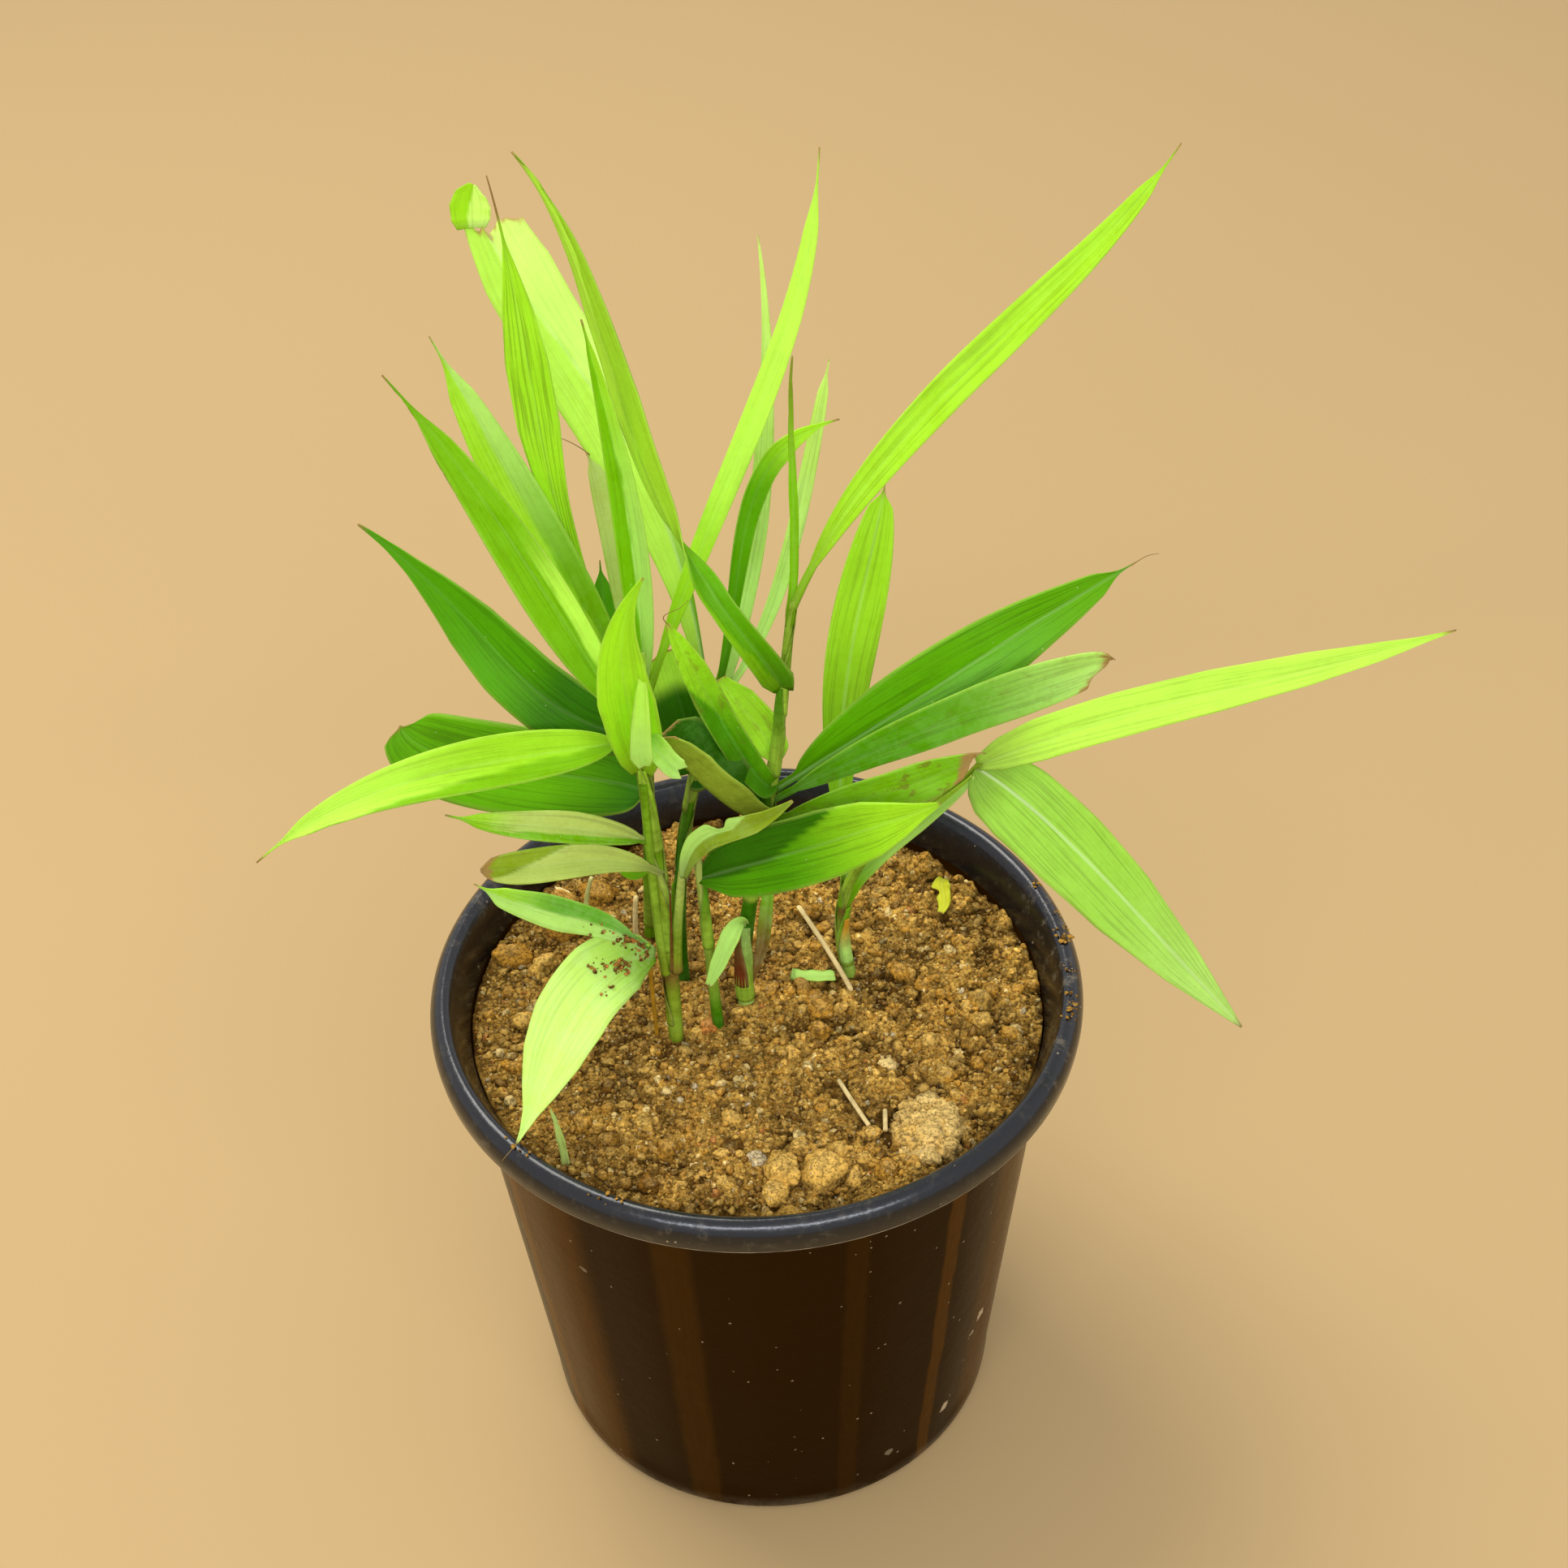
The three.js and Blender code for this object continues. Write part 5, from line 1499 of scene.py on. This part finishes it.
@dataclass
class Soil:
    """The potting soil: a bed that fills the pot, with loose crumbs and clods over it."""

    radius: float = 87.8
    foot_radius: float = 70.9
    floor: float = 3.3
    points_a_side: int = 220
    clear_of_litter: float = 1.6
    loose_clods: int = 40
    clod_seed: int = 7
    clear_of_stems: float = 12.0
    broad_lumps: int = 22
    size_spread: float = 0.28
    tone_shares: tuple[float, ...] = (0.1, 0.012, 0.45, 0.38, 0.05, 0.008)

    def __post_init__(self) -> None:
        """Draws the bed's unevenness."""
        self.uneven = Lattice(5)

    @staticmethod
    def swell(x: Array, y: Array) -> Array:
        """The height of the plain bed: three crossing swells."""
        total = np.sin(x / 9 + 1) * np.cos(y / 11) + np.sin((x + y) / 14 + 2) + 0.6 * np.cos((x - 2 * y) / 17)
        return SOIL_LEVEL + SOIL_LUMP / 2 * total

    def height(self, x: Array, y: Array) -> Array:
        """The height of the bed: the swells and four octaves of relief, coarser towards positive
        x, settled by 1 mm and by 0.8 mm more at the wall."""
        edge = np.hypot(x, y) / self.radius
        flat = np.stack([x, y, 0 * x], -1)
        relief = 1.6 * self.uneven.at(flat, 9.0) + 2.2 * np.abs(self.uneven.at(flat + 31, 4.6))
        relief += 1.0 * self.uneven.at(flat + 57, 2.1) + 0.5 * self.uneven.at(flat + 83, 1.1)
        coarse = 0.7 + 0.6 * smooth(x + 0.5 * y, -50, 50)
        return self.swell(x, y) + coarse * relief - 1.0 - 0.8 * smooth(edge, 0.93, 1.0)

    def disc(self) -> tuple[Array, Array]:
        """A square grid bent into a disc: each square ring of the grid becomes a circle."""
        side = np.linspace(-1, 1, self.points_a_side)
        a, b = np.meshgrid(side, side)
        wide = np.abs(a) > np.abs(b)
        reach = np.where(wide, a, b)
        safe = np.where(np.abs(reach) < 1e-9, 1.0, reach)
        angle = np.where(wide, np.pi / 4 * b / safe, np.pi / 2 - np.pi / 4 * a / safe)
        return self.radius * reach * np.cos(angle), self.radius * reach * np.sin(angle)

    def bed(self) -> Surface:
        """The closed bed: the bent grid on top, a skirt down inside the wall, a flat foot."""
        count = self.points_a_side
        x, y = self.disc()
        z = self.height(x, y)
        top = np.stack([x, y, z], -1).reshape(-1, 3)
        rim = rim_places(count, count)
        low = top[rim] * (self.foot_radius / self.radius)
        low[:, 2] = self.floor
        under = len(top) + np.arange(len(rim))
        step = np.roll(np.arange(len(rim)), -1)
        skirt = np.stack([rim[step], rim, under, under[step]], -1)
        centre = len(top) + len(rim)
        foot = np.stack([np.full(len(rim), centre), under[step], under], -1)
        points = np.concatenate([top, low, [[0, 0, self.floor]]])
        # Painted shade: the bed is darkened where it lies below its swells, in its hollows.
        lift = smooth(points[:, 2] - self.swell(points[:, 0], points[:, 1]), -2.0, 1.4)
        skin = blend_colours(np.array(Loam.DARK.value) * 0.55, Loam.TAN.value, lift)
        values = {"skin": opaque(np.clip(skin, 0, 1))}
        return Surface(points, np.concatenate([grid_quads(count, count), skirt]), foot, values)

    def standing(self) -> Array:
        """Where stems and sticks stand, as (x, y, radius)."""
        stems = (*STEMS.values(), *STICKS.values())
        return np.array([[*stem.places[0][:2], stem.foot] for stem in stems])

    def lying(self) -> Array:
        """Points of the ground under straws and scraps, a few for each."""
        spots = []
        for x, y, length, heading in LYING_STRAWS.values():
            way = math.radians(heading)
            reach = np.linspace(-length / 2, length / 2, 9)[:, None]
            spots.append(np.array([x, y]) + reach * [math.cos(way), math.sin(way)])
        for leaf, _ in SCRAPS.values():
            spots.append(Through(leaf.places).points(np.linspace(0, 1, 7))[:, :2])
        return np.concatenate(spots)

    def crumb_places(self, rng: np.random.Generator, grade: Grade) -> tuple[Array, Array]:
        """Places on a jittered triangular grid over the bed, away from stems and litter.

        Args:
            rng: the draw.
            grade: the pitch of the grid and the range of sizes.

        Returns:
            (n, 2) places and (n,) radii.
        """
        reach = int(self.radius / grade.pitch) + 2
        i, j = np.meshgrid(np.arange(-reach, reach + 1), np.arange(-reach, reach + 1))
        x = (i + 0.5 * (j % 2)).ravel() * grade.pitch
        y = j.ravel() * grade.pitch * math.sqrt(3) / 2
        places = np.stack([x, y], -1) + rng.uniform(-0.5, 0.5, (len(x), 2)) * grade.pitch
        sizes = rng.lognormal(math.log(grade.middle), self.size_spread, len(x))
        sizes = np.clip(sizes, grade.least, grade.most)
        kept = rng.uniform(size=len(x)) < grade.share
        kept &= np.hypot(*places.T) + sizes < self.radius - 0.2
        places, sizes = places[kept], sizes[kept]
        stems = self.standing()
        gap = np.linalg.norm(places[:, None] - stems[None, :, :2], axis=-1) - stems[None, :, 2]
        lying = np.linalg.norm(places[:, None] - self.lying()[None], axis=-1)
        kept = (gap.min(1) > sizes * 0.7) & (lying.min(1) > sizes + self.clear_of_litter)
        x, y, wide, deep = BROAD_CLOD
        kept &= np.hypot((places[:, 0] - x) / wide, (places[:, 1] - y) / deep) > 0.85
        return places[kept], sizes[kept]

    def scattered_clods(self) -> list[Place]:
        """The small clods strewn over the bed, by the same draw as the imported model's.

        Returns:
            x, y and radius of each clod that lies clear of whatever stands there.
        """
        draw = SeededDraw(self.clod_seed)
        kept = [plant.places[0] for plant in (*STEMS.values(), *STICKS.values(), WEED)]
        kept += [leaf.places[0] for leaf, _ in SCRAPS.values()]
        kept += [*LYING_STRAWS.values(), *CLODS, BROAD_CLOD]
        clods = []
        for _ in range(self.loose_clods):
            reach = 80 * math.sqrt(draw.next())
            angle = 2 * math.pi * draw.next()
            x, y = reach * math.cos(angle), reach * math.sin(angle)
            size = 2.2 + 2 * draw.next()
            if all(math.hypot(x - spot[0], y - spot[1]) >= self.clear_of_stems for spot in kept):
                clods.append((x, y, size))
        return clods

    def crumbs(self, grade: Grade) -> Crumbs:
        """The loose crumbs of one grade, half sunk in the bed."""
        rng = np.random.default_rng(grade.seed)
        places, sizes = self.crumb_places(rng, grade)
        chosen = rng.choice(len(Loam), len(places), p=self.tone_shares)
        z = self.height(*places.T) + sizes * rng.uniform(-0.35, 0.3, len(sizes))
        patch = self.uneven.at(np.stack([*places.T, 0 * sizes + 3], -1), 14.0)
        # Painted shade: crumbs that lie low in the hollows are darker and high ones lighter; patches and
        # chance vary the tone too.
        lift = smooth(z - self.swell(*places.T), -2.0, 2.2)
        light = 0.55 + 0.7 * lift + 0.16 * patch + rng.uniform(-0.18, 0.18, len(sizes))
        colours = shades_of(*Loam)[chosen] * light[:, None]
        centres = np.concatenate([places, z[:, None]], -1)
        return Crumbs(centres, sizes, colours, grade.seed, grade.level, squash=0.8, rough=0.6,
                      grit=0.3 if grade.level > 2 else 0.0)

    def bedded(self, clods: Array, share: float, colours: Array, seed: int, squash: float) -> Crumbs:
        """Clods of (x, y, radius), with `share` of that radius, bedded in the plain bed."""
        x, y, radius = clods.T
        centres = np.stack([x, y, self.swell(x, y) + radius * 0.1], -1)
        return Crumbs(centres, radius * share, colours, seed, level=4, squash=squash, rough=0.35, grit=0.5)

    def clods(self) -> dict[str, Crumbs]:
        """The clods: the small strewn ones, the larger ones bedded in the soil, the broad one."""
        loose = np.array(self.scattered_clods())
        chosen = np.random.default_rng(32).integers(0, 3, len(loose))
        colours = shades_of(Loam.BROWN, Loam.TAN, Loam.BROWN)[chosen]
        places = np.array([clod[:3] for clod in CLODS])
        return {
            "small": self.bedded(loose, 0.85, colours, 43, 0.8),
            "bedded": self.bedded(places, 0.95, shades_of(*[clod[3] for clod in CLODS]), 45, 0.75),
            "broad": self.broad_clod(),
        }

    def broad_clod(self) -> Crumbs:
        """The broad low clod: lumps grown together, laid out in a spiral over an oval and
        lowest at its edge."""
        rng = np.random.default_rng(33)
        x, y, wide, deep = BROAD_CLOD
        order = (np.arange(self.broad_lumps) + 0.5) / self.broad_lumps
        angle = 2.4 * np.arange(self.broad_lumps)
        reach = 0.8 * np.sqrt(order)
        places = np.stack([x + wide * reach * np.cos(angle), y + deep * reach * np.sin(angle)], -1)
        z = self.swell(*places.T) + 1.6 - 2.6 * order + rng.uniform(-0.4, 0.4, self.broad_lumps)
        sizes = rng.uniform(2.9, 4.4, self.broad_lumps)
        shades = blend_colours(Loam.TAN.value, Loam.PALE.value, rng.uniform(0.1, 0.7, self.broad_lumps))
        centres = np.concatenate([places, z[:, None]], -1)
        return Crumbs(centres, sizes, shades, 44, level=4, squash=0.7, rough=0.3, grit=0.7)

    def build(self, material: Material) -> None:
        """Makes the bed in place of the packed soil, and the crumbs and clods on it."""
        dressed(self.bed().build("soil_bed", material), "soil", "soil")
        for grade in GRADES:
            faceted = grade.level == 1
            dressed(self.crumbs(grade).surface().build(f"soil_{grade.name}", material, not faceted), "soil")
        for name, clods in self.clods().items():
            dressed(clods.surface().build(f"soil_clods_{name}", material), "soil")


# Heaps on the low shoot's two leaves: place along, place across, spread, count
LEAF_HEAPS = (
    ((0.04, 0.0, 2.2, 60), (0.12, -0.3, 1.8, 20), (0.25, -0.3, 2.5, 8)),
    ((0.05, 0.1, 2.0, 40), (0.17, -0.05, 1.5, 46), (0.25, 0.25, 1.6, 16), (0.3, -0.35, 1.2, 5),
     (0.12, 0.5, 1.2, 10)),
)
# Stretches of the lip with soil on it: first angle, last angle, count
LIP_STRETCHES = ((-141, -131, 8), (-120, -113, 9), (-14, -7, 18), (-2, 0, 8), (5, 14, 26), (21, 23, 6),
                 (60, 120, 6))


@dataclass
class FallenSoil:
    """Crumbs of soil that lie on leaves and on the pot's lip."""

    seed: int = 90

    def on_leaf(self, blade: Blade, heaps: tuple[tuple[float, float, float, int], ...]) -> Crumbs:
        """Crumbs in small heaps on a leaf's upper face.

        Args:
            blade: the leaf that they lie on.
            heaps: (place along, place across, spread in millimetres, count) of each heap.

        Returns:
            The crumbs, each raised by half of its radius from the leaf's face.
        """
        rng = np.random.default_rng(self.seed + blade.seed)
        along, across, spread, count = (np.array(column) for column in zip(*heaps))
        near = np.repeat(np.arange(len(heaps)), count)
        t = along[near] + rng.normal(size=len(near)) * spread[near] / blade.length
        v = across[near] + rng.normal(size=len(near)) * spread[near] / blade.leaf.width * 2
        t, v = np.clip(t, 0.03, 0.9), np.clip(v, -0.85, 0.85)
        sizes = np.clip(rng.lognormal(-0.95, 0.4, len(near)), 0.2, 0.8)
        lift = blade.normals(t, v) * (Blade.THICK / 2 + sizes * 0.5)[:, None]
        shades = shades_of(Loam.RED, Loam.BROWN, Loam.DARK)
        return Crumbs(blade.middle(t, v) + lift, sizes, shades[rng.integers(0, 3, len(near))], self.seed)

    def on_lip(self, pot: Pot, stretches: tuple[tuple[float, float, int], ...]) -> Crumbs:
        """Crumbs on top of the lip, over stretches of (first angle, last angle, count)."""
        rng = np.random.default_rng(self.seed)
        angle = np.radians(np.concatenate([rng.uniform(a, b, n) for a, b, n in stretches]))
        sizes = np.clip(rng.lognormal(-0.75, 0.4, len(angle)), 0.2, 1.2)
        radius = rng.uniform(pot.rim_radius - 6.5, pot.rim_radius - 1.5, len(angle))
        drop = 0.045 * np.abs(radius - (pot.rim_radius - 4.2)) ** 2.2
        z = pot.height - drop + 0.3 * sizes
        centres = np.stack([radius * np.cos(angle), radius * np.sin(angle), z], -1)
        shades = shades_of(Loam.DARK, Loam.BROWN, Loam.BROWN)
        chosen = shades[rng.integers(0, 3, len(angle))]
        return Crumbs(centres, sizes, chosen, self.seed + 1, squash=0.6, rough=0.6)

    def build(self, material: Material, leaves: list[Blade], pot: Pot) -> None:
        """Makes the crumbs on the given leaves and on the lip."""
        parts = [self.on_leaf(blade, heaps).surface() for blade, heaps in zip(leaves, LEAF_HEAPS)]
        dressed(Surface.joined(parts).build("soil_on_leaves", material, False), "soil")
        dressed(self.on_lip(pot, LIP_STRETCHES).surface().build("soil_on_lip", material, False), "soil")


@dataclass(frozen=True)
class LeafFinish:
    """Living leaf and stem: a waxy skin with fine lines lengthwise, a pale midrib, light that
    comes through the blade, pale flecks of dried water and brown scabs."""

    roughness: float = 0.42
    line_depth: float = 0.00008
    through: float = 0.36
    scab_tint: Colour = (0.24, 0.12, 0.03)
    bloom_tint: Colour = (0.6, 0.8, 0.36)
    fleck_tint: Colour = (0.72, 0.8, 0.42)
    scab_glow: Colour = (0.05, 0.02, 0.0)
    shine_tint: Colour = (0.8, 1.0, 0.45)

    def build(self, name: str, effects: Effects) -> Material:
        """Draws the material from the mesh's own layers."""
        material, g = blank_material(name)
        flat = g.layer("flat")
        rib, across, gloss = g.parts(g.layer("form"))
        along_mm, across_mm, _ = g.parts(flat)
        number, bloom, dirt = g.parts(g.layer("traits"))
        veins, blotch, _ = g.parts(g.layer("marks"))
        way = g.less(across, g.times(along_mm, 0.004))
        lines = g.group(effects.lines, Across=way, Number=number, Vector=flat).outputs["Height"]
        mottle = g.group(effects.mottle, Vector=flat, Scale=0.11)
        patches, grain = mottle.outputs["Patches"], mottle.outputs["Grain"]
        flecks = g.group(effects.specks, Vector=flat, Scale=0.5, Share=0.05, Size=0.09).outputs["Mask"]
        drawn = g.node("Mapping", {"Vector": flat, "Scale": (0.4, 1.0, 1.0)}).outputs[0]
        scab = g.times(g.step(g.noise(drawn, 0.32, 4.0, 0.62), 0.57, 0.63), dirt)

        vein = g.times(g.step(lines, 0.52, 0.36), veins)
        blotched = g.times(g.step(patches, 0.6, 0.36), blotch)
        shade = g.times(g.less(1.08, g.times(blotched, 0.42)), g.less(1.06, g.times(vein, 0.34)))
        skin = g.mix(1.0, g.layer("skin", "Color"), shade, "MULTIPLY")
        ribbed = g.times(g.step(g.math("ABSOLUTE", across_mm), 0.2, 0.75, 1.0, 0.0), rib)
        skin = g.mix(ribbed, skin, RIB)
        bloomed = g.times(g.step(patches, 0.38, 0.62), bloom)
        skin = g.mix(g.times(bloomed, 0.7), skin, self.bloom_tint)
        skin = g.mix(g.times(flecks, 0.55), skin, self.fleck_tint)
        skin = g.mix(scab, skin, self.scab_tint)

        rough = g.less(g.plus(self.roughness, g.times(bloomed, 0.3)), g.times(gloss, 0.16))
        rough = g.plus(rough, g.times(g.less(grain, 0.5), 0.2))
        rough = g.plus(rough, g.times(scab, 0.5), clamp=True)
        bump = g.bump(g.plus(g.times(lines, 2.0), g.times(grain, 0.8)), self.line_depth)
        inputs = {"Base Color": skin, "Roughness": rough, "Normal": bump, "Specular IOR Level": 0.2,
                  "Specular Tint": self.shine_tint}
        surface = g.node("BsdfPrincipled", inputs)
        glow = g.mix(1.0, g.layer("glow", "Color"), shade, "MULTIPLY")
        glow = g.mix(g.times(scab, 0.7), glow, self.scab_glow)
        inside = g.node("BsdfTranslucent", {"Color": glow, "Normal": bump})
        both = g.node("MixShader", {0: self.through, 1: surface.outputs[0], 2: inside.outputs[0]})
        g.node("OutputMaterial", {"Surface": both.outputs[0]})
        return material


@dataclass(frozen=True)
class SoilFinish:
    """Crumbly potting soil: matt, each crumb with its own colour, finely pitted, with small dark patches of
    painted shade between grains.
    """

    pit_depth: float = 0.0003
    fibre_tint: Colour = (0.5, 0.36, 0.19)

    def build(self, name: str, effects: Effects) -> Material:
        """Draws the material from Object coordinates and the crumbs' own colours."""
        material, g = blank_material(name)
        where = g.node("TexCoord", {}).outputs["Object"]
        mottle = g.group(effects.mottle, Vector=where, Scale=420.0)
        patches, grain = mottle.outputs["Patches"], mottle.outputs["Grain"]
        # Painted shade: irregular dark patches stand for the gaps between grains; they also pit the bump.
        gap = g.step(g.noise(where, 900.0, 3.0, 0.8), 0.38, 0.5)
        shade = g.times(g.step(patches, 0.3, 0.7, 0.7, 1.2), g.step(gap, 0.0, 1.0, 0.6, 1.1))
        skin = g.mix(1.0, g.layer("skin", "Color"), shade, "MULTIPLY")
        bits = g.group(effects.specks, Vector=where, Scale=900.0, Share=0.07, Size=0.3)
        skin = g.mix(bits.outputs["Mask"], skin, self.fibre_tint)
        bump = g.bump(g.plus(g.plus(grain, gap), g.times(patches, 1.2)), self.pit_depth)
        inputs = {"Base Color": skin, "Roughness": g.step(grain, 0.2, 0.8, 0.85, 1.0), "Normal": bump,
                  "Specular IOR Level": 0.1}
        g.node("OutputMaterial", {"Surface": g.node("BsdfPrincipled", inputs).outputs[0]})
        return material


# Painted reflections: soft upright streaks on the wall, middle and half width in degrees, strength
REFLECTION_STREAKS = ((-151, 3, 1.0), (-141, 15, 0.55), (-108, 5, 0.22), (-72, 3, 0.12), (-49, 2.5, 0.5), (-22, 16, 0.5),
           (18, 5, 0.6), (52, 14, 0.4), (88, 3, 0.7), (118, 12, 0.35), (150, 5, 0.6), (172, 8, 0.3))
# Clay splashed on the wall: the place in metres, the radius
SPLASHES = (
    ((0.0685, -0.0405, 0.056), 0.0028),
    ((0.0655, -0.0438, 0.0505), 0.0016),
    ((0.056, -0.0505, 0.022), 0.0024),
)


@dataclass(frozen=True)
class PlasticFinish:
    """Thin black moulded plastic: glossy, with soft upright bands of painted reflection, dust
    along the lip's lower edge and near the ground, fine specks, dried splashes and smears."""

    colour: Colour = (0.016, 0.0055, 0.0)
    painted_reflection_colour: Colour = (0.1, 0.036, 0.001)
    # How strongly the painted reflection bands show
    bands: float = 1.0
    roughness: float = 0.22
    specular: float = 0.03
    tint: Colour = (1.0, 0.62, 0.2)
    smears: float = 0.0
    dust_tint: Colour = (0.42, 0.33, 0.2)
    lip_under: float = 0.1635
    relief: float = 0.0002

    def build(self, name: str, effects: Effects) -> Material:
        """Draws the material from Object coordinates, which are metres from the base."""
        material, g = blank_material(name)
        where = g.node("TexCoord", {}).outputs["Object"]
        x, y, z = g.parts(where)
        radius = g.math("SQRT", g.plus(g.times(x, x), g.times(y, y)))
        broad = g.group(effects.mottle, Vector=where, Scale=24.0)
        upright = g.node("Mapping", {"Vector": where, "Scale": (1.0, 1.0, 0.12)}).outputs[0]
        streaks = g.group(effects.mottle, Vector=upright, Scale=130.0).outputs["Grain"]
        patches, grain = broad.outputs["Patches"], broad.outputs["Grain"]

        ledge = g.step(g.math("ABSOLUTE", g.less(z, self.lip_under)), 0.0003, 0.0009, 1.0, 0.0)
        ledge = g.times(ledge, g.step(radius, 0.0965, 0.0975))
        ground = g.times(g.step(z, 0.0, 0.009, 1.0, 0.0), 0.35)
        stained = g.plus(g.step(x, 0.08, 0.094, 0.25, 1.0), g.step(x, -0.06, -0.08, 0.0, 0.35))
        smear = g.step(g.noise(where, 170.0, 5.0, 0.75), 0.52, 0.68)
        smear = g.times(g.times(smear, stained), self.smears)
        splashes = g.group(effects.specks, Vector=where, Scale=55.0, Share=0.08, Size=0.1)
        dots = g.group(effects.specks, Vector=where, Scale=450.0, Share=0.03, Size=0.2)
        dust = g.times(g.most(ground, smear), g.step(patches, 0.35, 0.7))
        dust = g.most(dust, g.times(ledge, g.step(grain, 0.25, 0.6, 0.3, 1.0)))
        marks = g.times(splashes.outputs["Mask"], 0.35)
        dust = g.most(dust, g.most(marks, g.times(dots.outputs["Mask"], 0.5)))
        warped = g.times(g.less(g.noise(where, 500.0, 4.0, 0.7), 0.5), 0.006)
        for place, size in SPLASHES:
            away = g.node("VectorMath", {0: where, 1: place}, operation="DISTANCE").outputs["Value"]
            dust = g.most(dust, g.step(g.plus(away, warped), size, size * 0.75))

        # Painted reflections: brown upright bands on the black wall, below the lip.
        angle = g.times(g.math("ARCTAN2", y, x), 180 / math.pi)
        angle = g.plus(angle, g.times(g.less(patches, 0.5), 3.0))
        bands = 0.0
        for middle, wide, strength in REFLECTION_STREAKS:
            away = g.math("ABSOLUTE", g.less(angle, middle))
            bands = g.most(bands, g.step(away, 0.5 * wide, wide, strength, 0.0))
        bands = g.times(bands, g.step(z, self.lip_under - 0.002, self.lip_under - 0.012))
        bands = g.times(bands, g.step(streaks, 0.2, 0.7, 0.7, 1.1))
        skin = g.mix(g.times(bands, self.bands), self.colour, self.painted_reflection_colour)
        skin = g.mix(dust, skin, self.dust_tint)
        rough = g.plus(self.roughness, g.times(g.step(streaks, 0.4, 0.8), 0.08))
        rough = g.plus(rough, g.times(dust, 0.6), clamp=True)
        bump = g.bump(g.plus(g.times(patches, 2.0), dust), self.relief)
        inputs = {"Base Color": skin, "Roughness": rough, "Normal": bump,
                  "Specular IOR Level": self.specular, "Specular Tint": self.tint}
        g.node("OutputMaterial", {"Surface": g.node("BsdfPrincipled", inputs).outputs[0]})
        return material


@dataclass
class Studio:
    """The floor, the lights and the camera."""

    floor_side: float = 8.0
    floor_colour: Colour = (0.44, 0.3, 0.135)
    sky: Colour = (0.97, 0.98, 1.0)
    sky_strength: float = 0.82

    def floor(self) -> None:
        """A plain pale floor under the pot."""
        half = self.floor_side / 2
        mesh = bpy.data.meshes.new("floor")
        corners = [(-half, -half, 0), (half, -half, 0), (half, half, 0), (-half, half, 0)]
        mesh.from_pydata(corners, [], [(0, 1, 2, 3)])
        material, g = blank_material("floor")
        shader = g.node("BsdfPrincipled", {"Base Color": self.floor_colour, "Roughness": 0.9})
        g.node("OutputMaterial", {"Surface": shader.outputs[0]})
        mesh.materials.append(material)
        linked("floor", mesh)

    @staticmethod
    def lamp(name: str, place: Place, aim: Place, sides: tuple[float, float], watts: float,
             colour: Colour) -> None:
        """A soft light, so wide and so high, that looks at a point."""
        light = bpy.data.lights.new(name, "AREA")
        light.shape = "RECTANGLE"
        light.size, light.size_y = sides
        light.energy = watts
        light.color = colour
        way = Vector(aim) - Vector(place)
        turned_to = way.to_track_quat("-Z", "Y").to_matrix().to_4x4()
        linked(name, light).matrix_world = Matrix.Translation(place) @ turned_to

    def lights(self) -> None:
        """A soft sky, a large light above and behind the plant, and a long narrow one in front."""
        world = bpy.data.worlds.new("sky")
        world.use_nodes = True
        sky = world.node_tree.nodes["Background"]
        sky.inputs["Color"].default_value = (*self.sky, 1)
        sky.inputs["Strength"].default_value = self.sky_strength
        bpy.context.scene.world = world
        self.lamp("key", (-0.6, 0.6, 1.7), (0, 0, 0.25), (1.0, 1.0), 25, (1.0, 0.95, 0.84))
        self.lamp("front", (0.1, -1.45, 1.35), (0, 0, 0.2), (2.2, 0.16), 23, (0.97, 0.98, 1.0))

    def camera(self) -> None:
        """The photograph's view: the lens is found from its focal length in pixels, and the
        place from the pixel where the middle of the lip's top appears and its distance."""
        look = np.array([0, math.cos(LOOK_DOWN), -math.sin(LOOK_DOWN)])
        right = np.array([1.0, 0.0, 0.0])
        up = np.cross(right, look)
        level = math.cos(ROLL) * right + math.sin(ROLL) * up
        tilted = -math.sin(ROLL) * right + math.cos(ROLL) * up
        middle = PHOTO_PX / 2
        aside = (AIM_PX[0] - middle) / FOCAL_PX * AIM_DISTANCE
        below = (AIM_PX[1] - middle) / FOCAL_PX * AIM_DISTANCE
        place = AIM_POINT - (look * AIM_DISTANCE + level * aside - tilted * below)
        lens = bpy.data.cameras.new("camera")
        lens.sensor_fit = "HORIZONTAL"
        lens.angle = 2 * math.atan(middle / FOCAL_PX)
        lens.clip_start = 0.01
        camera = linked("camera", lens)
        axes = np.stack([level, tilted, -look], -1)
        camera.matrix_world = Matrix.Translation(place * MM) @ Matrix(axes.tolist()).to_4x4()
        bpy.context.scene.camera = camera

    def build(self) -> None:
        """Sets the whole stage and shows colours without a film look."""
        self.floor()
        self.lights()
        self.camera()
        bpy.context.scene.view_settings.view_transform = "Standard"


def main() -> None:
    """Builds the stage, the pot, the soil, the plant and what lies about it."""
    logging.basicConfig(level=logging.INFO, format="%(name)s: %(message)s")
    Studio().build()
    effects = Effects()
    materials = {
        "leaf_green": LeafFinish().build("leaf", effects),
        "leaf_lime": LeafFinish(roughness=0.5).build("lime_leaf", effects),
        "dry_leaf": LeafFinish(roughness=0.62, through=0.08, line_depth=0.00012).build("dry_leaf", effects),
        "soil": SoilFinish().build("soil", effects),
        "pot_plastic": PlasticFinish().build("black_plastic", effects),
    }
    shiny = PlasticFinish(colour=(0.004, 0.0034, 0.004), bands=0.0, specular=0.6,
                          tint=(0.9, 0.93, 1.0), smears=0.4)
    pot = Pot()
    pot.build(materials["pot_plastic"], shiny.build("lip_plastic", effects))
    Soil().build(materials["soil"])
    plants = [LeafyStem(name, stem, i + 1) for i, (name, stem) in enumerate(STEMS.items())]
    for plant in plants:
        plant.build(materials["leaf_green"])
    Litter().build(materials)
    FallenSoil().build(materials["soil"], plants[-1].blades(), pot)


if __name__ == "__main__":
    main()
